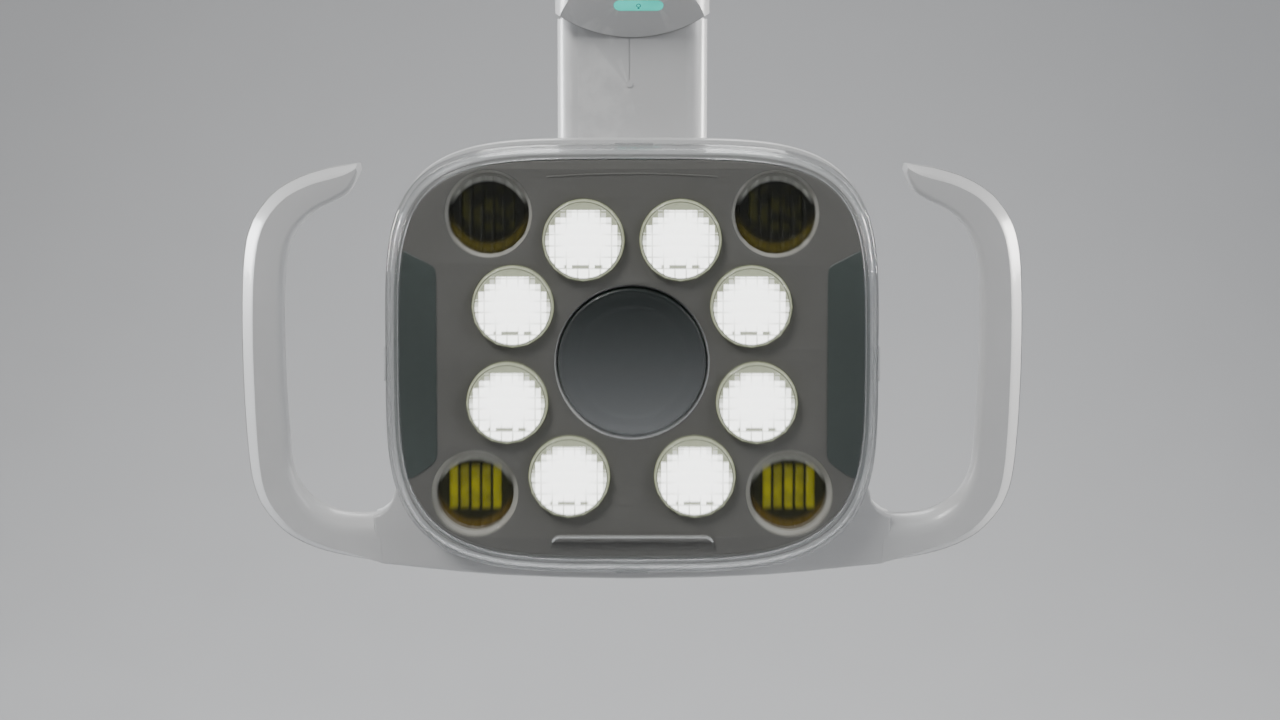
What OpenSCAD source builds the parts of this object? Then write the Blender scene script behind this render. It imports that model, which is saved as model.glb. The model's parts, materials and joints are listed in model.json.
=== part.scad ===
// Dental operating light head: handles, tilting and rolling head, clear shield, neck and arm spigot.
// Units are millimetres. +Z is up, the lit face looks along -Y, and the origin is the centre of the
// spigot shoulder, on the vertical swivel axis.

/* [Head] */
// half width of the shield outline
half_width = 98; // [80:0.1:130]
// height of the shield outline above the lamp centre
top_height = 87.2; // [70:0.1:110]
// depth of the shield outline below the lamp centre
low_height = 83.6; // [70:0.1:110]
// how far the housing stands above the shield
brow = 1.5; // [0:0.1:4]
// squareness of the upper half of the outline
top_power = 4.4; // [2:0.1:8]
// squareness of the lower half of the outline
low_power = 3.8; // [2:0.1:8]
// thickness of the housing shell
wall = 2.5; // [1.5:0.1:5]
// depth of the housing behind the face plane at the middle
housing_back = 50; // [40:1:60]
// play between the shield skirt and the housing
shield_play = 0.4; // [0.2:0.05:1]

/* [Lenses] */
// radius of the ring of white lenses
white_ring = 52.6; // [45:0.1:60]
// radius of a white lens
white_r = 16.2; // [12:0.1:17]
// angle between neighbouring white lenses
white_pitch = 43.25; // [35:0.05:45]
// distance of the amber lenses from the centre
amber_ring = 82.4; // [75:0.1:86]
// radius of an amber lens
amber_r = 14.7; // [10:0.1:16]
// radius of the amber openings in the face
amber_hole = 17.4; // [15:0.1:18]
// radius of the centre cap
cap_r = 29.6; // [20:0.1:32]

/* [Handles] */
// front face of the handles behind the face plane
grip_front = 12; // [8:0.5:20]
// parting plane between the two handle shells
grip_middle = 23; // [18:0.5:28]
// rear face of the handles
grip_rear = 34; // [28:0.5:40]

/* [Joints] */
// distance of the tilt axis behind the face plane
pivot_back = 74; // [70:1:84]
// height of the spigot shoulder above the head centre
drop = 185; // [170:1:220]
// radius of the tilt shaft
tilt_r = 6; // [5:0.5:9]
// radius of the roll tube of the hub
roll_r = 9; // [8:0.5:12]
// radius of the swivel shaft of the spindle
yaw_r = 9; // [8:0.5:12]
// radial play of every running fit
fit = 0.05; // [0.02:0.01:0.1]

/* [Neck] */
// width of the neck
neck_width = 62.6; // [50:0.2:70]
// thickness of the neck front to back
neck_depth = 28; // [24:1:36]
// width of the swivel knuckle
knuckle_width = 64; // [56:1:72]

/* [Arm spigot] */
// radius of the spigot that enters the arm
spigot_r = 12.5; // [10:0.5:16]
// length of the spigot
spigot_length = 40; // [25:1:60]
// radius of the cable bore
cable_r = 5; // [3:0.5:6]

/* [Hidden] */
$fn = 64;

grey_light = [0.80, 0.81, 0.82];
grey_face = [0.46, 0.47, 0.45];
grey_dark = [0.25, 0.29, 0.28];
steel = [0.62, 0.64, 0.66];
brass = [0.78, 0.62, 0.34];
black = [0.08, 0.08, 0.09];
clear = [0.85, 0.92, 0.95, 0.35];

// the eight white lens angles, starting at the upper right and going clockwise
white_first = 68.4;
white_angles = [for (i = [0 : 3]) white_first - i * white_pitch];
// the four amber lens angles: upper right, upper left, lower right, lower left
amber_angles = [46, 134, -40, -140];
skirt_end = 9;
rebate_end = 10;
lens_front = -3;
board_front = 20;
board_back = 21.6;
fin_base = 26;
fin_end = 36;
boss_front = 43;
boss_back = 52;
flange_back = 57;
slot_top = 30;
neck_top = 141;
smile_z = 1.4;
smile_r = 57;
post_spots = [[0, 72], [0, -72], [84, 4], [-84, 4]];
neck_screw_spots = [[-20, 105], [20, 105], [-22, 45], [22, 45]];

// ---- shared shapes ----

// head frame: origin at the middle of the face plane
module head() {
  translate([0, -pivot_back, -drop]) children();
}

// extrude a flat (x, z) shape from depth y0 to depth y1
module deep(y0, y1) {
  translate([0, y1, 0]) rotate([90, 0, 0]) linear_extrude(height = y1 - y0) children();
}

// round bar along Y
module bar_y(r, y0, y1) {
  translate([0, y0, 0]) rotate([-90, 0, 0]) cylinder(r = r, h = y1 - y0);
}

// round bar along X
module bar_x(r, x0, x1) {
  translate([x0, 0, 0]) rotate([0, 90, 0]) cylinder(r = r, h = x1 - x0);
}

// round bar along Z
module bar_z(r, z0, z1) {
  translate([0, 0, z0]) cylinder(r = r, h = z1 - z0);
}

// revolve a (radius, y) profile about the Y axis
module spin_y(profile) {
  rotate([-90, 0, 0]) rotate_extrude() polygon(profile);
}

// rounded-square outline: half width a, height up above the centre and low below it
module outline(a, up, low, n = 72) {
  polygon([for (i = [0 : n - 1])
    let (t = 360 * i / n, c = cos(t), s = sin(t), b = s < 0 ? low : up,
      p = 2 / (s < 0 ? low_power : top_power))
    [a * sign(c) * pow(abs(c), p), b * sign(s) * pow(abs(s), p)]]);
}

// head outline shrunk by d on every side, and raised by lift at the top
module rim(d = 0, lift = 0) {
  outline(half_width - d, top_height - d + lift, low_height - d);
}

// flat rectangle with round corners
module slab(w, h, r) {
  square([w - 2 * r, h], center = true);
  square([w, h - 2 * r], center = true);
  for (x = [-1, 1]) for (y = [-1, 1]) {
    translate([x * (w / 2 - r), y * (h / 2 - r)]) circle(r = r);
  }
}

// the (x, z) centre of white lens i, counted 1 to 4 on the right and 5 to 8 on the left
function white_at(i) =
  let (t = white_angles[(i - 1) % 4], side = i > 4 ? -1 : 1)
  [side * white_ring * cos(t), white_ring * sin(t)];

function amber_at(i) = [amber_ring * cos(amber_angles[i - 1]), amber_ring * sin(amber_angles[i - 1])];

module at_spot(p) {
  translate([p[0], 0, p[1]]) children();
}

// ---- arm side ----

module arm_spindle() {
  color(steel) difference() {
    union() {
      bar_z(spigot_r, -5, spigot_length - 1.5);
      translate([0, 0, spigot_length - 1.5])
        cylinder(r1 = spigot_r, r2 = spigot_r - 1.5, h = 1.5);
      bar_z(20, -5, 0);
      bar_z(yaw_r, -50, -5);
    }
    bar_z(cable_r, -51, spigot_length + 1);
    difference() {
      bar_z(yaw_r + 1, -44.3, -42.7);
      bar_z(yaw_r - 1.2, -45, -42);
    }
  }
}

module arm_collar() {
  color(grey_light) difference() {
    union() {
      bar_z(26, -5.5, -1);
      translate([0, 0, -1]) cylinder(r1 = 26, r2 = 25, h = 1);
    }
    bar_z(20.05, -6, 1);
  }
}

module yaw_washer() {
  color(black) difference() {
    bar_z(17, -6.4, -5);
    bar_z(yaw_r + 0.1, -7, -4);
  }
}

module yaw_retaining_ring() {
  color(steel) difference() {
    bar_z(11.2, -44.2, -42.75);
    bar_z(yaw_r - 1.15, -45, -42);
    translate([-1.5, -13, -45]) cube([3, 10, 4]);
  }
}

module upper_yaw_bush() {
  color(brass) difference() {
    bar_z(12, -17, -7);
    bar_z(yaw_r + fit, -18, -6);
  }
}

module lower_yaw_bush() {
  color(brass) difference() {
    bar_z(12, -42.6, -32);
    bar_z(yaw_r + fit, -43, -31);
  }
}

module yaw_brake_screw() {
  color(steel) translate([0, 0, -24.5]) difference() {
    bar_y(3, 12.4, 20);
    bar_y(1.5, 17.5, 21);
  }
}

module yaw_brake_pad() {
  color(black) translate([0, 0, -24.5]) difference() {
    bar_y(3, 8, 12.4);
    bar_z(yaw_r + 0.35, -5, 5);
  }
}

// ---- neck ----

// side outline (y, z) of the neck, in the head's heights
module neck_side(depth, low, high) {
  circle(r = depth / 2);
  translate([-depth / 2, low]) square([depth, high - low]);
}

module side_slab(x0, x1) {
  translate([x0, 0, 0]) rotate([90, 0, 90]) linear_extrude(height = x1 - x0) children();
}

module neck_frame() {
  out = neck_width / 2 - 3.1;
  color(steel) difference() {
    union() {
      intersection() {
        translate([0, 0, -drop]) for (x = [-out, 18]) side_slab(x, x + out - 18)
          neck_side(neck_depth - 6, 0, slot_top + 4);
        translate([0, 0, -drop - 20]) linear_extrude(height = 60)
          slab(2 * out, neck_depth - 6, 6.2);
      }
      translate([-out, -7.5, slot_top - drop]) cube([2 * out, 15, neck_top - slot_top - 0.4]);
      translate([-16, -7.5, neck_top - 20 - drop]) cube([32, 15, 23]);
      bar_z(18, -43.8, -6.6);
    }
    bar_z(12, -18, -6);
    bar_z(12, -54, -31.5);
    bar_z(yaw_r + 1, -40, -10);
    translate([0, 0, -drop]) bar_x(tilt_r, -35, 35);
    translate([0, 0, -24.5]) bar_y(3, 5, 22);
    for (p = neck_screw_spots) translate([p[0], 0, p[1] - drop]) bar_y(1.6, -1, 9);
  }
}

// plan outline of a neck cover half: a rounded box with an open middle
module neck_plan(front) {
  difference() {
    slab(neck_width, neck_depth, 9);
    slab(neck_width - 5, neck_depth - 5, 6.5);
    translate([-neck_width, front ? 0 : -neck_depth]) square([2 * neck_width, neck_depth]);
  }
}

module neck_cover(front) {
  intersection() {
    difference() {
      translate([0, 0, -drop - 16]) linear_extrude(height = neck_top + 12) neck_plan(front);
      deep(-20, 20) translate([0, smile_z]) circle(r = smile_r + 0.15);
    }
    translate([0, 0, -drop]) side_slab(-neck_width, neck_width)
      neck_side(neck_depth, 0, neck_top);
  }
  translate([0, 0, neck_top - 18 - drop]) linear_extrude(height = 18) difference() {
    slab(neck_width - 3, neck_depth - 3, 7.5);
    slab(neck_width - 5, neck_depth - 5, 6.5);
    translate([-neck_width, front ? 0 : -neck_depth]) square([2 * neck_width, neck_depth]);
  }
}

module neck_slot() {
  translate([-17.6, -neck_depth, -drop - 20]) cube([35.2, 2 * neck_depth, slot_top + 20]);
}

module neck_front_cover() {
  color(grey_light) difference() {
    neck_cover(true);
    neck_slot();
    translate([-1.4, -neck_depth / 2 - 1, 111.5 - drop]) cube([0.5, 1.3, 32]);
    translate([0, 0, -drop]) bar_x(12, -neck_width, neck_width);
  }
  color(grey_light) translate([-1.2, -neck_depth / 2, 110 - drop])
    rotate([-90, 0, 0]) translate([0, 0, -0.4]) cylinder(r = 1.4, h = 1.4);
}

module neck_rear_cover() {
  color(grey_light) difference() {
    neck_cover(false);
    neck_slot();
    translate([0, 0, -drop]) bar_x(12, -neck_width, neck_width);
    for (p = neck_screw_spots) translate([p[0], 0, p[1] - drop]) {
      bar_y(2.1, 5, 16);
      bar_y(3.6, 12.6, 16);
    }
  }
}

module neck_screws() {
  color(steel) for (p = neck_screw_spots) translate([p[0], 0, p[1] - drop]) difference() {
    union() {
      bar_y(1.6, 0, 12.8);
      bar_y(3.3, 12.8, 14);
    }
    bar_y(1.2, 13.2, 15);
  }
}

module neck_cable() {
  color(black) translate([0, 9.6, 0]) bar_z(1.8, -drop + 32, -60);
}

// side profile (y, z) of the knuckle, heights from the shoulder
module knuckle_side() {
  polygon([[-14.5, -62], [-14.5, -56], [-31, -36], [-35.2, -23.6], [-30, -11],
    [-25, -7.5], [23, -7.5], [27, -11], [33, -32], [33, -62]]);
}

// front outline (x, z): a smiling lower edge and softly rounded upper corners
module knuckle_front() {
  w = knuckle_width / 2;
  intersection() {
    polygon([[-w - 3, -62], [-w - 3, -22], [-w + 3, -10], [-w + 8, -7], [w - 8, -7],
      [w - 3, -10], [w + 3, -22], [w + 3, -62]]);
    translate([0, smile_z]) circle(r = smile_r);
  }
}

module knuckle_solid() {
  intersection() {
    side_slab(-40, 40) knuckle_side();
    deep(-40, 40) knuckle_front();
    translate([0, -2, -61]) linear_extrude(height = 60) slab(knuckle_width, 62, 20);
  }
}

// place children on the sloping sensor face, +Z leaving the face
module on_sensor_face() {
  translate([2.6, -25.4, -42.8]) rotate([129.5, 0, 0]) children();
}

module knuckle_cover() {
  color(grey_light) difference() {
    knuckle_solid();
    bar_z(24, -40, -13);
    bar_z(18.1, -44.2, -5);
    translate([0, 0, -62]) linear_extrude(height = 62 - drop + neck_top + 0.2)
      slab(neck_width - 2.7, neck_depth - 2.7, 7.65);
    on_sensor_face() {
      translate([0, 0, -2.5]) linear_extrude(height = 6) slab(20.6, 5.4, 2.65);
      translate([0, 0, -5]) linear_extrude(height = 3.2) slab(27, 9, 1.2);
    }
  }
}

module sensor_window() {
  color([0.3, 0.9, 0.85]) on_sensor_face() translate([0, 0, -1.6]) linear_extrude(height = 1.9)
    slab(20.4, 5.2, 2.55);
}

module sensor_board() {
  color([0.1, 0.35, 0.2]) on_sensor_face() translate([0, 0, -3.4]) linear_extrude(height = 1.4)
    slab(26, 8, 1);
}

module tilt_shaft() {
  color(steel) translate([0, 0, -drop]) bar_x(tilt_r, 2.6 - neck_width / 2, neck_width / 2 - 2.6);
}

module pivot_caps() {
  out = neck_width / 2;
  color(grey_dark) translate([0, 0, -drop]) for (m = [0, 1]) mirror([m, 0, 0]) difference() {
    bar_x(11.9, out - 2.6, out);
    bar_x(9, out - 0.6, out + 1);
  }
}

// ---- hub between neck and head ----

module tilt_hub() {
  color(steel) head() difference() {
    union() {
      bar_y(roll_r, 36.4, boss_back + 3);
      bar_y(17.4, boss_back + 1.6, flange_back);
      translate([-15.3, flange_back - 1, -13]) cube([30.6, pivot_back - flange_back + 1, 26]);
      translate([0, pivot_back, 0]) bar_x(14, -15.3, 15.3);
    }
    bar_y(cable_r, 30, 67);
    translate([0, pivot_back, 0]) bar_x(8, -20, 20);
  }
}

module tilt_bushes() {
  color(brass) translate([0, 0, -drop]) for (x = [-15.3, 5.3]) difference() {
    bar_x(8, x, x + 10);
    bar_x(tilt_r + fit, x - 1, x + 11);
  }
}

module tilt_friction_washers() {
  color(black) translate([0, 0, -drop]) for (x = [-17.9, 15.3]) difference() {
    bar_x(11.3, x, x + 2.6);
    bar_x(tilt_r + 0.1, x - 1, x + 4);
  }
}

module roll_friction_washer() {
  color(black) head() difference() {
    bar_y(17, boss_back + 0.1, boss_back + 1.6);
    bar_y(roll_r, boss_back - 1, boss_back + 3);
  }
}

module roll_nut() {
  color(brass) head() difference() {
    bar_y(15, 36.6, 41.8);
    bar_y(roll_r, 35, 43);
    for (a = [0, 90]) rotate([0, a, 0]) translate([-16, 36, -1.5]) cube([32, 2, 3]);
  }
}

// ---- head ----

module roll_bush() {
  color(brass) head() difference() {
    union() {
      bar_y(12, boss_front, boss_back);
      bar_y(15.5, boss_front - 1.1, boss_front);
    }
    bar_y(roll_r + fit, 40, 54);
  }
}

module dome(d) {
  spin_y([[0, -2], [130, -2], [130, 14 - d], [112, 21 - d], [98, 28.5 - d], [82, 36 - d],
    [60, 44 - d], [40, 48.6 - d], [32, housing_back - d], [0, housing_back - d]]);
}

module rear_housing() {
  color(grey_light) head() difference() {
    union() {
      difference() {
        intersection() {
          union() {
            deep(2, rebate_end + 1) rim(2.2 + shield_play);
            deep(rebate_end, 60) rim(0, brow);
          }
          dome(0);
        }
        intersection() {
          deep(6, 60) rim(2.2 + shield_play + wall);
          dome(3);
        }
        deep(1, 7) outline(half_width - 3.8, top_height - 6.4, low_height - 3.9);
      }
      bar_y(22, boss_front, housing_back);
      bar_y(18, housing_back - 1, boss_back);
      intersection() {
        for (p = post_spots) at_spot(p) bar_y(4.5, 18.3, 60);
        dome(1);
      }
    }
    bar_y(12, 40, 54);
    for (p = post_spots) at_spot(p) {
      bar_y(2.1, 10, 60);
      bar_y(3.9, 30, 60);
    }
    for (s = [-1, 1]) for (i = [-4, -3, -2, -1, 1, 2, 3, 4]) {
      translate([i * 9 - 1.75, 36, s * 62 - 9]) cube([3.5, 12, 18]);
    }
  }
}

module rear_cover() {
  color(grey_dark) head() difference() {
    union() {
      bar_y(28, housing_back, 51.2);
      translate([0, 51.2, 0]) rotate([-90, 0, 0]) cylinder(r1 = 28, r2 = 27, h = 0.8);
    }
    bar_y(18.05, 49, 53);
  }
}

// side panel outline on the right hand side
module side_panel_shape(d) {
  polygon([[78 + d, 30.8], [79.2 + d, 37.6], [80.8 + d, 40 - d], [91.4 - d, 44.8 - d],
    [91.4 - d, -48.4 + d], [86.8, -46.8 + d], [79.6 + d, -40.8 + d], [78 + d, -37.2]]);
}

module side_panel() {
  head() deep(-0.4, 0.8) side_panel_shape(0.2);
}

module face_plate() {
  color(grey_face) head() difference() {
    union() {
      deep(0, 3) outline(half_width - 4.1, top_height - 6.7, low_height - 4.2);
      for (p = post_spots) at_spot(p) bar_y(4.5, 2, 18);
      deep(-1.2, 1) polygon([[-32, -74.6], [-31.6, -71.8], [-28.8, -70.4], [29.2, -70.4],
        [32.4, -72], [32.8, -74.6]]);
    }
    bar_y(cap_r + 0.5, -1, 1.5);
    for (i = [1 : 8]) at_spot(white_at(i)) bar_y(white_r + 0.4, -1, 4);
    for (i = [1 : 4]) at_spot(amber_at(i)) bar_y(amber_hole, -1, 4);
    for (m = [0, 1]) mirror([m, 0, 0]) deep(-1, 0.8) side_panel_shape(0);
    for (p = post_spots) at_spot(p) bar_y(1.6, 6, 19);
  }
}

// depth of the dish in the centre cap at radius r
function dish(r) = 0.6 - r * r / 430;

module centre_cap() {
  color(grey_dark) head() spin_y(concat([for (r = [0 : 2 : 26]) [r, dish(r)]],
    [[27.2, -1.4], [28.8, -1.4], [cap_r, -1], [cap_r, 1.5], [0, 1.5]]));
}

// a white lens: a faceted collar, a domed front and a cone that gathers the light
module white_lens(i) {
  color([0.95, 0.98, 0.95]) head() at_spot(white_at(i)) difference() {
    union() {
      deep(lens_front, lens_front + 1.8)
        polygon([for (k = [0 : 15]) white_r * [cos(22.5 * k), sin(22.5 * k)]]);
      bar_y(white_r, lens_front + 2.6, 1);
      bar_y(white_r - 0.8, lens_front + 1.7, 1);
      spin_y([[0, 1], [15, 1], [15, 3], [8, 14], [6, 17.5], [0, 17.5]]);
    }
    bar_y(3.6, 15, 18);
    for (k = [-2.5 : 1 : 2.5]) {
      translate([k * 4.5 - 0.3, lens_front - 1, -20]) cube([0.6, 1.5, 40]);
      translate([-20, lens_front - 1, k * 4.5 - 0.3]) cube([40, 1.5, 0.6]);
    }
  }
}

// an amber lens: a disc with five upright flutes
module amber_lens(i) {
  color([0.62, 0.55, 0.10]) head() at_spot(amber_at(i)) {
    bar_y(amber_r, 6.5, 9);
    intersection() {
      bar_y(amber_r - 0.8, 5.4, 7);
      for (k = [-2 : 2]) translate([k * 5 - 1.3, 5.4, -20]) cube([2.6, 1.4, 40]);
    }
  }
}

module white_lens_cups() {
  color([0.93, 0.93, 0.92]) head() for (i = [1 : 8]) at_spot(white_at(i)) difference() {
    bar_y(18, 3, board_front);
    bar_y(17, 2, board_front + 1);
  }
}

module amber_lens_cups() {
  color([0.93, 0.93, 0.92]) head() for (i = [1 : 4]) at_spot(amber_at(i))
    spin_y([[amber_hole, 3], [17.9, 3], [17.9, board_front], [amber_r, board_front], [amber_r, 6.5]]);
}

module led_board() {
  color([0.1, 0.35, 0.2]) head() difference() {
    deep(board_front, board_back) rim(9.5);
    for (p = post_spots) at_spot(p) bar_y(5.5, 19, 23);
    bar_y(6, 19, 23);
  }
}

module led_chips() {
  color([0.95, 0.9, 0.6]) head() {
    for (i = [1 : 8]) at_spot(white_at(i)) translate([-2.5, 18.8, -2.5]) cube([5, 1.2, 5]);
    for (i = [1 : 4]) at_spot(amber_at(i)) translate([-2.5, 18.8, -2.5]) cube([5, 1.2, 5]);
  }
}

module heat_sink() {
  color([0.7, 0.7, 0.72]) head() difference() {
    union() {
      bar_y(64, board_back, fin_base);
      intersection() {
        bar_y(63, fin_base - 1, fin_end);
        for (k = [-7 : 7]) translate([k * 8 - 1, fin_base - 1, -70]) cube([2, 20, 140]);
      }
    }
    bar_y(6, 20, 40);
  }
}

module driver_module() {
  color([0.1, 0.35, 0.2]) head() {
    translate([-25, fin_end, -50]) cube([50, 1.6, 30]);
    translate([-20, fin_end + 1.6, -46]) cube([26, 3.8, 22]);
    translate([11, fin_end + 1.6, -40]) cube([8, 3, 12]);
  }
}

module housing_screws() {
  color(steel) head() for (p = post_spots) at_spot(p) difference() {
    union() {
      bar_y(1.6, 8, 28);
      bar_y(2, 27.9, 30);
      bar_y(3.6, 30, 32);
    }
    bar_y(1.4, 31, 33);
  }
}

// ---- handles ----

// stations along the right handle from the cradle to the tip: outer x, outer z, inner x, inner z,
// and the width of the bevelled edge
grip_stations = [
  [101.5, -84, 103, -63.8, 1.4], [115, -81.8, 111.3, -64.2, 2.4], [128.5, -78.4, 120.8, -62.8, 3],
  [139.4, -73.2, 129.2, -58.6, 3.4], [146.3, -67, 134.5, -53.2, 3.8],
  [151.7, -59.3, 137.6, -47, 4.2], [155, -49, 139, -40, 4.6], [156.9, -32, 140, -27, 4.7],
  [158, -10, 141, -9, 4.8], [158.3, 12, 141.4, 12, 4.8], [157.9, 31, 141, 30, 4.9],
  [156.9, 43, 139.6, 41.5, 5.1], [155, 51.6, 136.8, 49.6, 5.2], [151.2, 59.4, 132, 56.2, 5.3],
  [144.5, 67.1, 126, 60.8, 5.4], [134.9, 72.9, 119.5, 63.8, 5.4], [124.1, 76.5, 114.4, 67, 5],
  [117, 77.8, 111.9, 70.6, 3.6], [111, 78.6, 110.4, 75, 1.2]];
grip_steps = 3;

// smooth value between station i and i + 1
function blend(a, b, c, d, t) = 0.5 * (2 * b + (c - a) * t + (2 * a - 5 * b + 4 * c - d) * t * t
  + (3 * b - 3 * c + d - a) * t * t * t);
function station(i) = grip_stations[max(0, min(len(grip_stations) - 1, i))];
grip_count = (len(grip_stations) - 1) * grip_steps + 1;
function grip_at(k) =
  let (i = min(floor(k / grip_steps), len(grip_stations) - 2), t = k / grip_steps - i)
  blend(station(i - 1), station(i), station(i + 1), station(i + 2), t);

// a point across the handle: d from the outer edge towards the inner edge, at depth y
function across(g, d, y) =
  let (w = norm([g[2] - g[0], g[3] - g[1]]))
  [g[0] + (g[2] - g[0]) * d / w, y, g[1] + (g[3] - g[1]) * d / w];
function grip_width(g) = norm([g[2] - g[0], g[3] - g[1]]);

function front_ring(g) =
  let (w = grip_width(g), r = min(3, w * 0.25))
  [across(g, 0, grip_middle), across(g, 0, grip_middle - 4), across(g, g[4], grip_front),
    across(g, w - r, grip_front), across(g, w - 0.25 * r, grip_front + 0.3 * r),
    across(g, w, grip_front + r), across(g, w, grip_middle)];

function rear_ring(g) =
  let (w = grip_width(g), r = min(4, w * 0.2), d = min(1.6, w * 0.08))
  [across(g, w, grip_middle), across(g, w - d, grip_rear - r),
    across(g, w - d - 0.3 * r, grip_rear - 0.3 * r), across(g, w - d - r, grip_rear),
    across(g, d + r, grip_rear), across(g, d + 0.3 * r, grip_rear - 0.3 * r),
    across(g, d, grip_rear - r), across(g, 0, grip_middle)];

// skin a list of rings that all have n points
module skin(rings) {
  n = len(rings[0]);
  m = len(rings);
  polyhedron(
    points = [for (r = rings) for (p = r) p],
    faces = concat(
      [[for (j = [0 : n - 1]) n - 1 - j]],
      [[for (j = [0 : n - 1]) (m - 1) * n + j]],
      [for (i = [0 : m - 2]) for (j = [0 : n - 1]) [i * n + j, i * n + (j + 1) % n, (i + 1) * n + j]],
      [for (i = [0 : m - 2]) for (j = [0 : n - 1])
        [i * n + (j + 1) % n, (i + 1) * n + (j + 1) % n, (i + 1) * n + j]]),
    convexity = 6);
}

module handle_front(side) {
  color(grey_light) head() mirror([side < 0 ? 1 : 0, 0, 0])
    skin([for (k = [0 : grip_count - 1]) front_ring(grip_at(k))]);
}

module handle_rear(side) {
  color(grey_light) head() mirror([side < 0 ? 1 : 0, 0, 0])
    skin([for (k = [0 : grip_count - 1]) rear_ring(grip_at(k))]);
}

module cradle_shape() {
  difference() {
    polygon([[101.46, -84], [102.96, -63.8], [99.8, -61.6], [97.6, -58.4], [96.4, -54], [95, -48],
      [60, -40], [-60, -40], [-95, -48], [-96.4, -54], [-97.6, -58.4], [-99.8, -61.6],
      [-102.96, -63.8], [-101.46, -84], [-86, -85.6], [-70, -87.3], [-54, -88.6], [-30, -89.7],
      [0, -90.2], [30, -89.7], [54, -88.6], [70, -87.3], [86, -85.6]]);
    rim(-0.02);
  }
}

module handle_cradle() {
  color(grey_light) head() difference() {
    union() {
      deep(grip_front, grip_rear) cradle_shape();
      intersection() {
        deep(grip_rear - 1, grip_rear) difference() {
          rim(-0.5);
          rim(-0.02);
        }
        translate([-90, 0, -95]) cube([180, 60, 20]);
      }
    }
    for (s = [-1, 1]) at_spot([s * 90, -80]) bar_y(2.1, 8, 40);
  }
}

module handle_screws() {
  color(steel) head() for (s = [-1, 1]) at_spot([s * 90, -80]) {
    bar_y(2.1, 16, 33);
    bar_y(3.6, 34, 35.5);
    bar_y(2.1, 32, 34.2);
  }
}

// ---- shield ----

module front_shield() {
  color(clear) head() difference() {
    union() {
      deep(-14, -12.6) rim(3.4);
      deep(-12.8, -11.4) rim(1.4);
      deep(-11.6, skirt_end) rim();
      for (s = [-1, 1]) translate([s > 0 ? 90 : -98.5, -10, -7.5]) cube([8.5, 15, 14]);
      translate([-7, -10, 80]) cube([14, 15, 7.6]);
      translate([-6, -10, -84]) cube([12, 15, 8]);
    }
    deep(-12, skirt_end + 1) rim(2.2);
  }
}

arm_spindle();
arm_collar();
yaw_washer();
yaw_retaining_ring();
upper_yaw_bush();
lower_yaw_bush();
yaw_brake_screw();
yaw_brake_pad();
neck_frame();
neck_front_cover();
neck_rear_cover();
knuckle_cover();
sensor_window();
sensor_board();
tilt_shaft();
pivot_caps();
neck_screws();
neck_cable();
tilt_hub();
tilt_bushes();
tilt_friction_washers();
roll_friction_washer();
roll_nut();
roll_bush();
rear_housing();
rear_cover();
face_plate();
centre_cap();
color(grey_dark) mirror([1, 0, 0]) side_panel();  // left_side_panel
color(grey_dark) side_panel();  // right_side_panel
white_lens(1);  // white_lens_1
white_lens(2);  // white_lens_2
white_lens(3);  // white_lens_3
white_lens(4);  // white_lens_4
white_lens(5);  // white_lens_5
white_lens(6);  // white_lens_6
white_lens(7);  // white_lens_7
white_lens(8);  // white_lens_8
amber_lens(1);  // amber_lens_1
amber_lens(2);  // amber_lens_2
amber_lens(3);  // amber_lens_3
amber_lens(4);  // amber_lens_4
white_lens_cups();
amber_lens_cups();
led_board();
led_chips();
heat_sink();
driver_module();
housing_screws();
handle_cradle();
handle_front(-1);  // left_handle_front
handle_rear(-1);  // left_handle_rear
handle_front(1);  // right_handle_front
handle_rear(1);  // right_handle_rear
handle_screws();
front_shield();
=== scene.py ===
"""Looks of a dental operating light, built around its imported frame.

The frame brings every part at its real size and place. This script swaps the visible mouldings for
finer meshes (shield, face, lenses, cap, housing and handles), rounds the edges of the parts it
keeps, and gives every part a procedural finish. Lengths in the dataclasses are millimetres; the
meshes are made in metres.
"""

from __future__ import annotations

import json
import logging
import math
from dataclasses import dataclass, field
from enum import Enum
from typing import Callable, Iterable, Sequence

import bmesh
import bpy
from mathutils import Matrix, Vector

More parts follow.
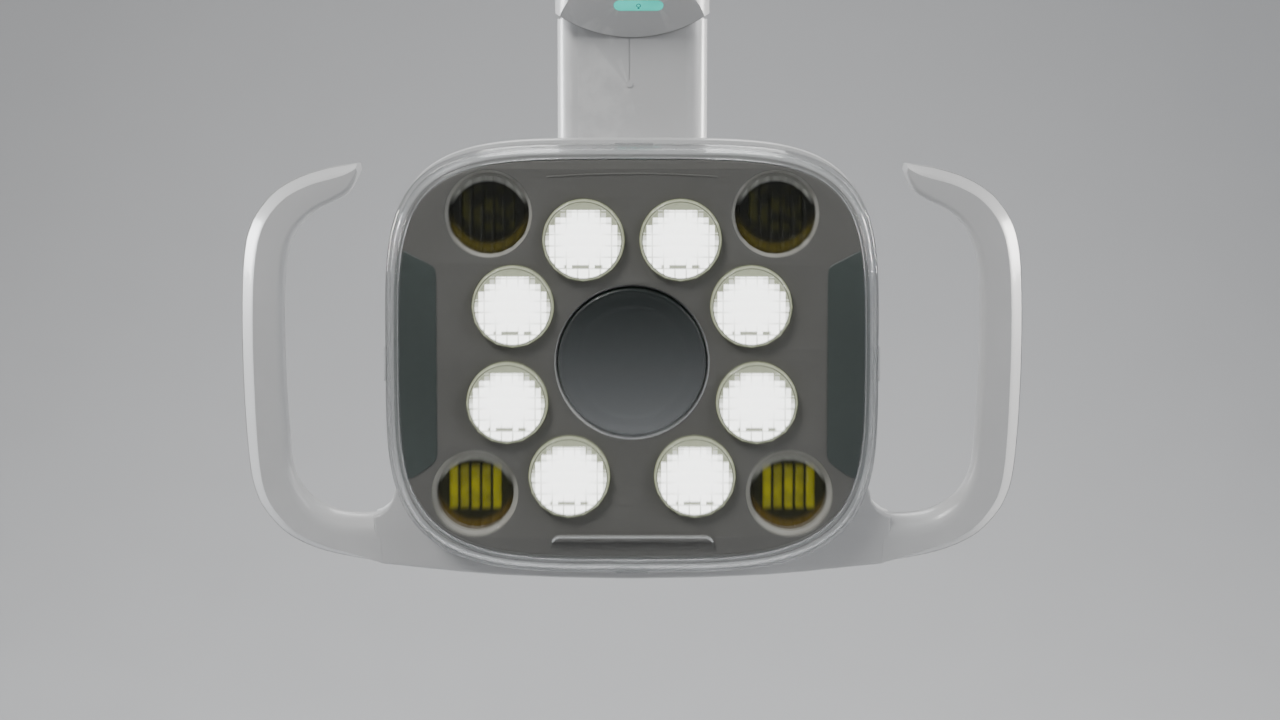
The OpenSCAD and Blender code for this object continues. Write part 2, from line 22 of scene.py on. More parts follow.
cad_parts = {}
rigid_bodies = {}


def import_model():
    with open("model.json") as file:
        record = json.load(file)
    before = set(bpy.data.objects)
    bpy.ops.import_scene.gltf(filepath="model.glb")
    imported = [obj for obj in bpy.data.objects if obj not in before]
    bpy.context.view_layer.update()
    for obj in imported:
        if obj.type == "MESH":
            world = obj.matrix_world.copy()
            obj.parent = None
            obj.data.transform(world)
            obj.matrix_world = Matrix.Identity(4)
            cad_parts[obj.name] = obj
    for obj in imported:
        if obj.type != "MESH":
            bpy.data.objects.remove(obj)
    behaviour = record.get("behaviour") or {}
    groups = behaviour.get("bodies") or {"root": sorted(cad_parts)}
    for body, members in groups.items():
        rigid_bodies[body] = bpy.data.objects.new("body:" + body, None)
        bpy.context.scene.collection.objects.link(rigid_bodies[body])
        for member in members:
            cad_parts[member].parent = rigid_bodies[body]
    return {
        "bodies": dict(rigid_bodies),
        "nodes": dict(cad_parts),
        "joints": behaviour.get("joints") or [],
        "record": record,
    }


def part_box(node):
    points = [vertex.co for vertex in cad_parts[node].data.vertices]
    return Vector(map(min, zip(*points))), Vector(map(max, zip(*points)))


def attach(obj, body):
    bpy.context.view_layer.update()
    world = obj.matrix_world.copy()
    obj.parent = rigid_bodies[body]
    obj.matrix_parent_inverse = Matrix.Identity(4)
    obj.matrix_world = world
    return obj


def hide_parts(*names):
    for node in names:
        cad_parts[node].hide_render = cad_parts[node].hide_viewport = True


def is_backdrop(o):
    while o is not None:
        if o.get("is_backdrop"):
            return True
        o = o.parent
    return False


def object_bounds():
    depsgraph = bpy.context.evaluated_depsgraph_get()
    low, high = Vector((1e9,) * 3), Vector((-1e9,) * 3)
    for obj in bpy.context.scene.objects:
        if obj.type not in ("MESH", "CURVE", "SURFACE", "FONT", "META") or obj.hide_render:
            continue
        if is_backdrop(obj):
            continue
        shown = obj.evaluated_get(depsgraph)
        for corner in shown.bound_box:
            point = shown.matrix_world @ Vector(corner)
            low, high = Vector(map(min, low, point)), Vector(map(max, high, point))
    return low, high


LOG = logging.getLogger("dental_light")
MM = 0.001

CREASE = 34.0
PLATE_CREASE = 40.0
SIGN_CREASE = 50.0

Point2 = tuple[float, float]
Colour = tuple[float, float, float]
Socket = bpy.types.NodeSocket
Feed = float | bpy.types.NodeSocket
Tone = Colour | bpy.types.NodeSocket


class Side(Enum):
    """Left or right of the head, seen from the front."""

    LEFT = -1
    RIGHT = 1


class Row(Enum):
    """Which corner row an amber lens sits in."""

    UPPER = "upper"
    LOWER = "lower"


class Half(Enum):
    """Front or rear shell of a two-part moulding."""

    FRONT = "front"
    REAR = "rear"


# ---------------------------------------------------------------------------------------------
# Shapes shared by the sub-assemblies
# ---------------------------------------------------------------------------------------------


def link_object(obj: bpy.types.Object) -> bpy.types.Object:
    """Put an object into the scene and return it."""
    bpy.context.scene.collection.objects.link(obj)
    return obj


def soften(obj: bpy.types.Object, angle: float = CREASE) -> None:
    """Shade a mesh smooth and keep edges sharper than an angle crisp.

    Args:
        obj: the mesh object.
        angle: the crease angle in degrees.
    """
    for polygon in obj.data.polygons:
        polygon.use_smooth = True
    obj.data.set_sharp_from_angle(angle=math.radians(angle))


def mesh_piece(
    name: str, points: Sequence[Vector], faces: Sequence[Sequence[int]], angle: float = CREASE
) -> bpy.types.Object:
    """Make a mesh object with outward normals.

    Args:
        name: the piece's name.
        points: corners in millimetres.
        faces: corner numbers of each face.
        angle: the crease angle in degrees.

    Returns:
        The linked object, in metres.
    """
    mesh = bpy.data.meshes.new(name)
    mesh.from_pydata([tuple(p * MM) for p in points], [], [list(f) for f in faces])
    clean(mesh)
    obj = link_object(bpy.data.objects.new(name, mesh))
    soften(obj, angle)
    return obj


def clean(mesh: bpy.types.Mesh, gap: float = 1e-6) -> None:
    """Merge doubled corners and turn every face outwards.

    Args:
        mesh: the mesh.
        gap: corners closer than this are merged, in metres.
    """
    work = bmesh.new()
    work.from_mesh(mesh)
    bmesh.ops.remove_doubles(work, verts=work.verts, dist=gap)
    bmesh.ops.recalc_face_normals(work, faces=work.faces)
    work.to_mesh(mesh)
    work.free()


def settle(obj: bpy.types.Object) -> bpy.types.Object:
    """Turn an object and its modifiers into one plain mesh at the origin of its place.

    Args:
        obj: a mesh or curve object.

    Returns:
        The same-named mesh object that takes its place.
    """
    bpy.context.view_layer.update()
    graph = bpy.context.evaluated_depsgraph_get()
    mesh = bpy.data.meshes.new_from_object(obj.evaluated_get(graph))
    mesh.transform(obj.matrix_world)
    name = obj.name
    bpy.data.objects.remove(obj)
    clean(mesh)
    mesh.name = name
    return link_object(bpy.data.objects.new(name, mesh))


def skin_rings(
    name: str, rings: Sequence[Sequence[Vector]], closed: bool = False, angle: float = CREASE
) -> bpy.types.Object:
    """Skin rings of points into a solid.

    Args:
        name: the piece's name.
        rings: rings with equal numbers of points; a ring of one point is a pole.
        closed: join the last ring to the first instead of capping both ends.
        angle: the crease angle in degrees.

    Returns:
        The linked object.
    """
    points: list[Vector] = []
    starts: list[int] = []
    for ring in rings:
        starts.append(len(points))
        points.extend(ring)
    faces: list[list[int]] = []
    pairs = [(k, k + 1) for k in range(len(rings) - 1)]
    if closed:
        pairs.append((len(rings) - 1, 0))
    for a, b in pairs:
        faces.extend(band(starts[a], len(rings[a]), starts[b], len(rings[b])))
    if not closed:
        for k in (0, len(rings) - 1):
            if len(rings[k]) > 2:
                faces.append([starts[k] + j for j in range(len(rings[k]))])
    return mesh_piece(name, points, faces, angle)


def band(a: int, count_a: int, b: int, count_b: int) -> list[list[int]]:
    """Faces between two rings, either of which may be a single pole.

    Args:
        a: number of the first ring's first point.
        count_a: points in the first ring.
        b: number of the second ring's first point.
        count_b: points in the second ring.

    Returns:
        Corner numbers of each face.
    """
    count = max(count_a, count_b)
    faces = []
    if count == 1:
        return faces
    for j in range(count):
        k = (j + 1) % count
        if count_a == 1:
            faces.append([a, b + j, b + k])
        elif count_b == 1:
            faces.append([a + j, b, a + k])
        else:
            faces.append([a + j, b + j, b + k, a + k])
    return faces


def turned(
    name: str,
    profile: Sequence[Point2],
    centre: Vector,
    steps: int = 96,
    closed: bool = False,
    ripple: Callable[[float, float], float] | None = None,
    angle: float = CREASE,
) -> bpy.types.Object:
    """Turn a profile about an axis along Y.

    Args:
        name: the piece's name.
        profile: (radius, depth) points in millimetres.
        centre: a point on the axis in millimetres; depths are measured from its y.
        steps: points round the axis.
        closed: the profile is a loop, as for a tube.
        ripple: factor on the radius at (turn angle, radius), for scalloped edges.
        angle: the crease angle in degrees.

    Returns:
        The linked object.
    """
    rings = []
    for radius, depth in profile:
        if radius < 1e-6:
            rings.append([centre + Vector((0, depth, 0))])
            continue
        ring = []
        for j in range(steps):
            turn = 2 * math.pi * j / steps
            reach = radius * (ripple(turn, radius) if ripple else 1.0)
            ring.append(centre + Vector((reach * math.cos(turn), depth, reach * math.sin(turn))))
        rings.append(ring)
    return skin_rings(name, rings, closed, angle)


def resampled(points: Sequence[Point2], count: int) -> list[Point2]:
    """Spread points evenly along a closed outline.

    Args:
        points: the outline's points.
        count: how many points to make.

    Returns:
        The points in millimetres.
    """
    lengths = [math.dist(points[k], points[(k + 1) % len(points)]) for k in range(len(points))]
    total = sum(lengths)
    out: list[Point2] = []
    k, walked = 0, 0.0
    for j in range(count):
        target = total * j / count
        while walked + lengths[k] < target:
            walked += lengths[k]
            k += 1
        t = (target - walked) / lengths[k]
        a, b = points[k], points[(k + 1) % len(points)]
        out.append((a[0] + (b[0] - a[0]) * t, a[1] + (b[1] - a[1]) * t))
    return out


def circle_points(x: float, z: float, radius: float, count: int = 96) -> list[Point2]:
    """Points round a circle in the face plane."""
    turns = [2 * math.pi * j / count for j in range(count)]
    return [(x + radius * math.cos(t), z + radius * math.sin(t)) for t in turns]


def flat_shape(
    name: str,
    loops: Sequence[Sequence[Point2]],
    thick: float,
    edge: float,
    place: Matrix,
    angle: float,
) -> bpy.types.Object:
    """Make a flat shape with holes and rounded edges from closed outlines.

    Args:
        name: the piece's name.
        loops: the outer outline, then one outline per hole.
        thick: thickness in millimetres.
        edge: radius of the rounded edges.
        place: where the shape's middle goes, in metres.
        angle: the crease angle in degrees.

    Returns:
        The linked mesh object.
    """
    curve = bpy.data.curves.new(name, "CURVE")
    curve.dimensions = "2D"
    curve.fill_mode = "BOTH"
    curve.extrude = (thick / 2 - edge) * MM
    curve.bevel_depth = edge * MM
    curve.bevel_resolution = 3
    curve.offset = -edge * MM
    for loop in loops:
        spline = curve.splines.new("POLY")
        spline.points.add(len(loop) - 1)
        for point, (x, y) in zip(spline.points, loop):
            point.co = (x * MM, y * MM, 0, 1)
        spline.use_cyclic_u = True
    obj = link_object(bpy.data.objects.new(name, curve))
    obj.matrix_world = place
    shape = settle(obj)
    soften(shape, angle)
    return shape


def cut_plate(
    name: str,
    loops: Sequence[Sequence[Point2]],
    front: float,
    back: float,
    edge: float,
    centre: Vector,
) -> bpy.types.Object:
    """Make a flat plate that faces forwards.

    Args:
        name: the piece's name.
        loops: the outer outline, then one outline per hole, as (x, z) points.
        front: depth of the front face.
        back: depth of the rear face.
        edge: radius of the rounded edges.
        centre: the point that the outlines and depths are measured from.

    Returns:
        The linked mesh object.
    """
    middle = centre + Vector((0, (front + back) / 2, 0))
    place = Matrix.Translation(middle * MM) @ Matrix.Rotation(math.pi / 2, 4, "X")
    return flat_shape(name, loops, back - front, edge, place, PLATE_CREASE)


def carve(obj: bpy.types.Object, cutter: bpy.types.Object) -> bpy.types.Object:
    """Cut one solid out of another and drop the cutter.

    Args:
        obj: the object.
        cutter: the solid to cut away; it is dropped afterwards.

    Returns:
        The linked object.
    """
    step = obj.modifiers.new("cut", "BOOLEAN")
    step.operation = "DIFFERENCE"
    step.solver = "EXACT"
    step.object = cutter
    result = settle(obj)
    bpy.data.objects.remove(cutter)
    return result


def catmull(a: float, b: float, c: float, d: float, t: float) -> float:
    """Smooth value between b and c, led by a and d."""
    return 0.5 * (
        2 * b + (c - a) * t + (2 * a - 5 * b + 4 * c - d) * t * t + (3 * b - 3 * c + d - a) * t**3
    )


# ---------------------------------------------------------------------------------------------
# Shader node groups
# ---------------------------------------------------------------------------------------------


class Graph:
    """Adds and joins nodes in one node tree."""

    def __init__(self, tree: bpy.types.NodeTree) -> None:
        """Keep the tree to work in."""
        self.tree = tree

    def add(self, kind: str, values: dict | None = None, **settings) -> bpy.types.Node:
        """Add a node.

        Args:
            kind: the node's type name.
            values: input name or number to a constant or to an output socket.
            **settings: properties of the node itself.

        Returns:
            The new node.
        """
        node = self.tree.nodes.new(kind)
        for key, value in settings.items():
            setattr(node, key, value)
        for key, value in (values or {}).items():
            socket = node.inputs[key]
            if isinstance(value, bpy.types.NodeSocket):
                self.tree.links.new(value, socket)
            else:
                socket.default_value = value
        return node

    def math(self, operation: str, a: Feed, b: Feed = 0.0, clamp: bool = False) -> Socket:
        """Output of one arithmetic step on two values or sockets."""
        return self.add(
            "ShaderNodeMath", {0: a, 1: b}, operation=operation, use_clamp=clamp
        ).outputs[0]

    def times(self, a: Feed, b: Feed, clamp: bool = False) -> Socket:
        """Product of two values."""
        return self.math("MULTIPLY", a, b, clamp)

    def plus(self, a: Feed, b: Feed, clamp: bool = False) -> Socket:
        """Sum of two values."""
        return self.math("ADD", a, b, clamp)

    def minus(self, a: Feed, b: Feed, clamp: bool = False) -> Socket:
        """First value less the second."""
        return self.math("SUBTRACT", a, b, clamp)

    def magnitude(self, a: Feed) -> Socket:
        """A value without its sign."""
        return self.math("ABSOLUTE", a)

    def distance(self, across: Feed, up: Feed) -> Socket:
        """Length of a step across and up."""
        return self.math("SQRT", self.plus(self.times(across, across), self.times(up, up)))

    def cells(self, value: Feed, width: float) -> Socket:
        """A coordinate counted in cells of one width, with a cell centred on zero."""
        return self.plus(self.math("DIVIDE", value, width * MM), 100.5)

    def span(
        self, value: Feed, low: float, high: float, out_low: float = 0.0, out_high: float = 1.0
    ) -> Socket:
        """Output of a clamped map from one range to another."""
        return self.add(
            "ShaderNodeMapRange", {0: value, 1: low, 2: high, 3: out_low, 4: out_high}
        ).outputs[0]

    def mix(self, share: Feed, a: Tone, b: Tone) -> Socket:
        """Output of a colour mix.

        Args:
            share: how much of the second colour shows.
            a: the first colour.
            b: the second colour.

        Returns:
            The mixed colour's socket.
        """
        node = self.tree.nodes.new("ShaderNodeMix")
        node.data_type = "RGBA"
        for number, value in ((0, share), (6, a), (7, b)):
            if isinstance(value, bpy.types.NodeSocket):
                self.tree.links.new(value, node.inputs[number])
            elif number == 0:
                node.inputs[number].default_value = value
            else:
                node.inputs[number].default_value = (*value[:3], 1.0)
        return node.outputs[2]

    def place(self) -> Socket:
        """The object's own coordinates."""
        return self.add("ShaderNodeTexCoord").outputs["Object"]

    def axes(self) -> tuple[Socket, Socket, Socket]:
        """The object's own coordinates with their sideways and upward parts.

        Returns:
            The coordinates, then their sideways and upward parts.
        """
        place = self.place()
        parts = self.add("ShaderNodeSeparateXYZ", {0: place})
        return place, parts.outputs["X"], parts.outputs["Z"]


def new_group(name: str, inputs: dict[str, object], outputs: dict[str, str]) -> tuple:
    """Make an empty shader node group.

    Args:
        name: the group's name.
        inputs: input name to its default: a float or a colour.
        outputs: output name to its socket type.

    Returns:
        The group, its graph, its input node and its output node.
    """
    group = bpy.data.node_groups.new(name, "ShaderNodeTree")
    for key, value in inputs.items():
        kind = "NodeSocketColor" if isinstance(value, tuple) else "NodeSocketFloat"
        socket = group.interface.new_socket(key, in_out="INPUT", socket_type=kind)
        socket.default_value = value
    for key, kind in outputs.items():
        group.interface.new_socket(key, in_out="OUTPUT", socket_type=kind)
    graph = Graph(group)
    return group, graph, graph.add("NodeGroupInput"), graph.add("NodeGroupOutput")


def grain_group() -> bpy.types.NodeTree:
    """Fine spark-eroded grain of a moulded surface: a height and a slow tone.

    Returns:
        The node group.
    """
    name = "Moulded grain"
    if name in bpy.data.node_groups:
        return bpy.data.node_groups[name]
    outputs = {"Height": "NodeSocketFloat", "Drift": "NodeSocketFloat"}
    group, graph, given, out = new_group(name, {"Scale": 900.0, "Drift scale": 14.0}, outputs)
    place = graph.place()
    fine = graph.add(
        "ShaderNodeTexNoise",
        {"Vector": place, "Scale": given.outputs["Scale"], "Detail": 3.0, "Roughness": 0.65},
    )
    slow = graph.add(
        "ShaderNodeTexNoise",
        {"Vector": place, "Scale": given.outputs["Drift scale"], "Detail": 2.0},
    )
    group.links.new(fine.outputs["Fac"], out.inputs["Height"])
    group.links.new(slow.outputs["Fac"], out.inputs["Drift"])
    return group


def wear_group() -> bpy.types.NodeTree:
    """Mask of handled edges, broken up by noise.

    Returns:
        The node group.
    """
    name = "Edge wear"
    if name in bpy.data.node_groups:
        return bpy.data.node_groups[name]
    group, graph, given, out = new_group(name, {"Amount": 0.3}, {"Mask": "NodeSocketFloat"})
    place = graph.place()
    convex = graph.add("ShaderNodeNewGeometry").outputs["Pointiness"]
    patches = graph.add("ShaderNodeTexNoise", {"Vector": place, "Scale": 120.0, "Detail": 5.0})
    edge = graph.span(convex, 0.52, 0.60)
    broken = graph.span(patches.outputs["Fac"], 0.40, 0.62)
    worn = graph.times(edge, broken)
    group.links.new(graph.times(worn, given.outputs["Amount"], True), out.inputs["Mask"])
    return group


def dust_group() -> bpy.types.NodeTree:
    """Mask of dust that settles on faces that look up.

    Returns:
        The node group.
    """
    name = "Settled dust"
    if name in bpy.data.node_groups:
        return bpy.data.node_groups[name]
    group, graph, given, out = new_group(name, {"Amount": 0.15}, {"Mask": "NodeSocketFloat"})
    place = graph.place()
    normal = graph.add("ShaderNodeNewGeometry").outputs["Normal"]
    height = graph.add("ShaderNodeSeparateXYZ", {0: normal}).outputs["Z"]
    flecks = graph.add("ShaderNodeTexNoise", {"Vector": place, "Scale": 260.0, "Detail": 6.0})
    lies = graph.times(graph.span(height, 0.35, 0.95), graph.span(flecks.outputs["Fac"], 0.35, 0.7))
    group.links.new(graph.times(lies, given.outputs["Amount"], True), out.inputs["Mask"])
    return group


def brushed_group() -> bpy.types.NodeTree:
    """Fine turning lines round a metal part's vertical axis.

    Returns:
        The node group.
    """
    name = "Turning lines"
    if name in bpy.data.node_groups:
        return bpy.data.node_groups[name]
    group, graph, given, out = new_group(name, {"Scale": 2400.0}, {"Height": "NodeSocketFloat"})
    place = graph.place()
    squeezed = graph.add("ShaderNodeMapping", {"Vector": place, "Scale": (0.02, 0.02, 1.0)})
    lines = graph.add(
        "ShaderNodeTexNoise",
        {"Vector": squeezed.outputs[0], "Scale": given.outputs["Scale"], "Detail": 3.0},
    )
    group.links.new(lines.outputs["Fac"], out.inputs["Height"])
    return group


# ---------------------------------------------------------------------------------------------
# Finishes
# ---------------------------------------------------------------------------------------------


class Coating(Graph):
    """The nodes of one new material, from an empty tree to its surface."""

    def __init__(self, name: str) -> None:
        """Make the material with nothing but its output.

        Args:
            name: the material's name.
        """
        self.material = bpy.data.materials.new(name)
        self.material.use_nodes = True
        self.material.node_tree.nodes.clear()
        super().__init__(self.material.node_tree)
        self.out = self.add("ShaderNodeOutputMaterial")

    def group(self, tree: bpy.types.NodeTree, values: dict[str, float] | None = None) -> dict:
        """Outputs by name of a shared node group, placed with its own values."""
        node = self.add("ShaderNodeGroup", values, node_tree=tree)
        return {socket.name: socket for socket in node.outputs}

    def bump(self, strength: float, distance: float, height: Socket) -> Socket:
        """Normals bent by a height."""
        return self.add(
            "ShaderNodeBump", {"Strength": strength, "Distance": distance, "Height": height}
        ).outputs[0]

    def surface(self, shader: Socket) -> bpy.types.Material:
        """Join a shader to the output and hand over the finished material."""
        self.tree.links.new(shader, self.out.inputs["Surface"])
        return self.material

    def principled(self, values: dict[str, Feed | Colour]) -> bpy.types.Material:
        """Finish the material with one Principled shader."""
        return self.surface(self.add("ShaderNodeBsdfPrincipled", values).outputs[0])


@dataclass(frozen=True)
class Moulding:
    """A moulded plastic surface with grain, slow tone drift, worn edges and dust."""

    name: str
    colour: Colour
    roughness: float = 0.36
    coat: float = 0.15
    grain: float = 0.05
    grain_scale: float = 1400.0
    drift: float = 0.05
    wear: float = 0.25
    dust: float = 0.10
    worn_colour: Colour = (0.78, 0.78, 0.77)

    def make(self) -> bpy.types.Material:
        """Build the material.

        Returns:
            The material.
        """
        graph = Coating(self.name)
        grain = graph.group(grain_group(), {"Scale": self.grain_scale})
        wear = graph.group(wear_group(), {"Amount": self.wear})
        dust = graph.group(dust_group(), {"Amount": self.dust})
        low = tuple(c * (1 - self.drift) for c in self.colour)
        high = tuple(min(1.0, c * (1 + self.drift)) for c in self.colour)
        body = graph.mix(graph.span(grain["Drift"], 0.3, 0.7), low, high)
        worn = graph.mix(wear["Mask"], body, self.worn_colour)
        dusty = graph.mix(dust["Mask"], worn, (0.55, 0.54, 0.52))
        rough = graph.span(
            grain["Drift"], 0.3, 0.7, self.roughness * 0.86, self.roughness * 1.14
        )
        rough = graph.plus(rough, graph.times(dust["Mask"], 0.3), True)
        bump = graph.bump(self.grain, 0.0004, grain["Height"])
        return graph.principled(
            {"Base Color": dusty, "Roughness": rough, "Normal": bump,
             "Coat Weight": self.coat, "Coat Roughness": 0.12, "IOR": 1.5}
        )


@dataclass(frozen=True)
class TurnedMetal:
    """Machined metal with turning lines and finger-dulled patches."""

    name: str
    colour: Colour
    roughness: float = 0.28
    lines: float = 0.12

    def make(self) -> bpy.types.Material:
        """Build the material.

        Returns:
            The material.
        """
        graph = Coating(self.name)
        turning = graph.group(brushed_group())
        grain = graph.group(grain_group(), {"Drift scale": 60.0})
        darker = tuple(c * 0.82 for c in self.colour)
        body = graph.mix(graph.span(grain["Drift"], 0.35, 0.65), darker, self.colour)
        rough = graph.span(
            grain["Drift"], 0.3, 0.7, self.roughness * 0.8, self.roughness * 1.3
        )
        bump = graph.bump(self.lines, 0.0002, turning["Height"])
        return graph.principled(
            {"Base Color": body, "Metallic": 1.0, "Roughness": rough, "Normal": bump}
        )


@dataclass(frozen=True)
class ClearMoulding:
    """Clear polycarbonate that lets the lamps' light through to what is behind it."""

    name: str
    tint: Colour = (0.98, 0.99, 0.99)
    roughness: float = 0.015
    clarity: float = 0.35

    def make(self) -> bpy.types.Material:
        """Build the material.

        Returns:
            The material.
        """
        graph = Coating(self.name)
        grain = graph.group(grain_group(), {"Drift scale": 30.0})
        tone = graph.mix(
            graph.span(grain["Drift"], 0.3, 0.7), self.tint, tuple(c * 0.985 for c in self.tint)
        )
        rough = graph.span(grain["Drift"], 0.45, 0.7, self.roughness, self.roughness * 3)
        glass = graph.add(
            "ShaderNodeBsdfPrincipled",
            {"Base Color": tone, "Roughness": rough, "Transmission Weight": 1.0, "IOR": 1.3},
        )
        passing = graph.add("ShaderNodeBsdfTransparent", {"Color": (0.97, 0.975, 0.975, 1.0)})
        rays = graph.add("ShaderNodeLightPath")
        shadow = graph.math(
            "MAXIMUM", rays.outputs["Is Shadow Ray"], rays.outputs["Is Diffuse Ray"]
        )
        share = graph.math("MAXIMUM", shadow, self.clarity)
        mixed = graph.add(
            "ShaderNodeMixShader", {0: share, 1: glass.outputs[0], 2: passing.outputs[0]}
        )
        return graph.surface(mixed.outputs[0])


@dataclass(frozen=True)
class LitLens:
    """A glowing collimating lens: brightest in the middle, with dim cell edges and rim."""

    name: str
    radius: float = 16.2
    cell: float = 4.5
    sag: float = 2.6
    column: float = 2.25
    row: float = 3.0
    groove: float = 0.942
    dash_drop: float = 10.6
    dash_reach: float = 8.0
    strength: float = 3.4

    def make(self) -> bpy.types.Material:
        """Build the material.

        Returns:
            The material.
        """
        graph = Coating(self.name)
        _, across, up = graph.axes()
        share = self.reach(graph, across, up)
        column, row = self.stepped(graph, across, self.column), self.stepped(graph, up, self.row)
        drawn = self.reach(graph, column, graph.plus(row, self.sag * MM))
        bowl = graph.span(drawn, 0.99, 0.86)
        middle = graph.times(bowl, graph.span(share, 0.955, 0.93))
        edges = graph.math("MAXIMUM", self.cell_edge(graph, across), self.cell_edge(graph, up))
        outer = graph.span(share, 0.45, 0.90)
        lines = graph.times(graph.times(edges, outer), 0.62)
        light = graph.minus(middle, lines, True)
        undashed = graph.minus(1.0, self.dashes(graph, across, up, column))
        light = graph.times(light, undashed)
        light = graph.math("POWER", light, 1.6)
        glow = graph.mix(light, (0.085, 0.090, 0.060), (1.0, 1.0, 0.97))
        body = graph.mix(light, (0.30, 0.31, 0.24), (0.90, 0.92, 0.88))
        beside = graph.magnitude(graph.minus(share, self.groove))
        groove = graph.span(beside, 0.020, 0.008, 0.0, 0.8)
        glow = graph.mix(groove, glow, (0.010, 0.011, 0.006))
        body = graph.mix(groove, body, (0.08, 0.085, 0.06))
        return graph.principled(
            {"Base Color": body, "Roughness": 0.12, "Coat Weight": 0.6, "Coat Roughness": 0.03,
             "Emission Color": glow, "Emission Strength": self.strength}
        )

    def reach(self, graph: Graph, across: Feed, up: Feed) -> Socket:
        """Distance from the lens's middle as a share of its radius."""
        return graph.math("DIVIDE", graph.distance(across, up), self.radius * MM)

    def stepped(self, graph: Graph, value: Feed, width: float) -> Socket:
        """A coordinate held constant over steps of one width."""
        count = graph.math("FLOOR", graph.math("DIVIDE", value, width * MM))
        return graph.times(graph.plus(count, 0.5), width * MM)

    def dashes(self, graph: Graph, across: Feed, up: Feed, column: Feed) -> Socket:
        """Mask of a few short dark dashes low on the lens.

        Args:
            graph: where the nodes go.
            across: sideways coordinate.
            up: upward coordinate.
            column: sideways coordinate held over each column of cells.

        Returns:
            The mask's socket.
        """
        pick = graph.add(
            "ShaderNodeTexWhiteNoise", {"W": graph.times(column, 900.0)}, noise_dimensions="1D"
        )
        away = graph.magnitude(graph.plus(up, self.dash_drop * MM))
        row = graph.span(away, 0.85 * MM, 0.60 * MM)
        near = graph.span(graph.magnitude(across), self.dash_reach * MM, (self.dash_reach - 1) * MM)
        chosen = graph.span(pick.outputs["Value"], 0.50, 0.60, 0.0, 0.85)
        return graph.times(graph.times(row, near), chosen)

    def cell_edge(self, graph: Graph, value: Feed) -> Socket:
        """Mask of the grooves between pillow cells along one direction."""
        cells = graph.math("FRACT", graph.cells(value, self.cell))
        return graph.span(graph.magnitude(graph.minus(cells, 0.5)), 0.40, 0.49)


@dataclass(frozen=True)
class AmberGlass:
    """Unlit amber lens: dark olive glass with painted highlights of yellow light in its flutes,
    painted lit crescents at its edge and a faint painted glow.
    """

    name: str
    deep: Colour
    # colour of the painted highlights in the flutes
    bright: Colour
    # colour of the painted golden crescent low in the lens
    rim: Colour
    # strength of the painted pale crescent near the top
    lip: float = 0.0
    # weakest share of the painted flute highlights where the noise is low
    haze: float = 0.35
    flute: float = 4.4

    def reach(self, graph: Graph, across: Feed, up: Feed, shift: float) -> Socket:
        """Distance from a point that lies a shift above the lens's middle."""
        return graph.distance(across, graph.minus(up, shift * MM))

    def make(self) -> bpy.types.Material:
        """Build the material.

        Returns:
            The material.
        """
        graph = Coating(self.name)
        place, across, up = graph.axes()
        # Painted highlights: bars of yellow light in the flutes, broken up by noise and kept to a
        # middle zone.
        steps = graph.cells(across, self.flute)
        ridge = graph.magnitude(graph.minus(graph.math("FRACT", steps), 0.5))
        bars = graph.span(ridge, 0.43, 0.32)
        pick = graph.add(
            "ShaderNodeTexWhiteNoise", {"W": graph.math("FLOOR", steps)}, noise_dimensions="1D"
        )
        bars = graph.times(bars, graph.span(pick.outputs["Value"], 0.0, 1.0, 0.55, 1.0))
        inside = graph.span(graph.magnitude(across), 11.6 * MM, 10.4 * MM)
        bars = graph.times(bars, inside)
        blur = graph.add("ShaderNodeTexNoise", {"Vector": place, "Scale": 170.0, "Detail": 3.0})
        above, below = graph.span(up, -7.6 * MM, -5.6 * MM), graph.span(up, 12.0 * MM, 9.0 * MM)
        zone = graph.times(above, below)
        painted_flute_light = graph.times(bars, graph.span(blur.outputs["Fac"], 0.42, 0.58, self.haze, 1.0))
        painted_flute_light = graph.times(painted_flute_light, zone)
        # Painted light: a golden crescent low in the lens.
        painted_low_crescent = graph.span(self.reach(graph, across, up, 3.4), 14.0 * MM, 16.4 * MM)
        painted_low_crescent = graph.times(painted_low_crescent, graph.span(up, 1.0 * MM, -7.0 * MM))
        # Painted highlight: a pale crescent near the top of the lens.
        upper = graph.span(self.reach(graph, across, up, -2.4), 14.9 * MM, 15.9 * MM)
        lit = graph.times(graph.span(up, 3.0 * MM, 8.0 * MM), self.lip)
        upper = graph.times(upper, lit)
        tone = graph.mix(painted_flute_light, self.deep, self.bright)
        tone = graph.mix(painted_low_crescent, tone, self.rim)
        tone = graph.mix(upper, tone, (0.50, 0.50, 0.46))
        # Painted glow: the lens is unlit, yet its tone is given a faint emission.
        return graph.principled(
            {"Base Color": tone, "Roughness": 0.22, "Coat Weight": 0.25, "Coat Roughness": 0.05,
             "Emission Color": tone, "Emission Strength": 0.35}
        )


@dataclass(frozen=True)
class PaintedShadeDish:
    """Satin moulding with painted shade, darker towards its upper edge and lighter towards its lower
    edge; its middle is a frame height.
    """

    name: str
    low: Colour
    high: Colour
    reach: float = 30.0
    middle: float = -185.0

    def make(self) -> bpy.types.Material:
        """Build the material.

        Returns:
            The material.
        """
        graph = Coating(self.name)
        _, _, up = graph.axes()
        grain = graph.group(grain_group(), {"Scale": 1700.0})
        # Painted shade and highlight: the colour runs from low at the bottom to high at the top.
        low, high = self.middle - self.reach, self.middle + self.reach * 0.8
        share = graph.span(up, low * MM, high * MM)
        tone = graph.mix(graph.math("POWER", share, 0.8), self.low, self.high)
        rough = graph.span(grain["Drift"], 0.3, 0.7, 0.26, 0.36)
        bump = graph.bump(0.03, 0.0004, grain["Height"])
        return graph.principled(
            {"Base Color": tone, "Roughness": rough, "Normal": bump, "Coat Weight": 0.3}
        )


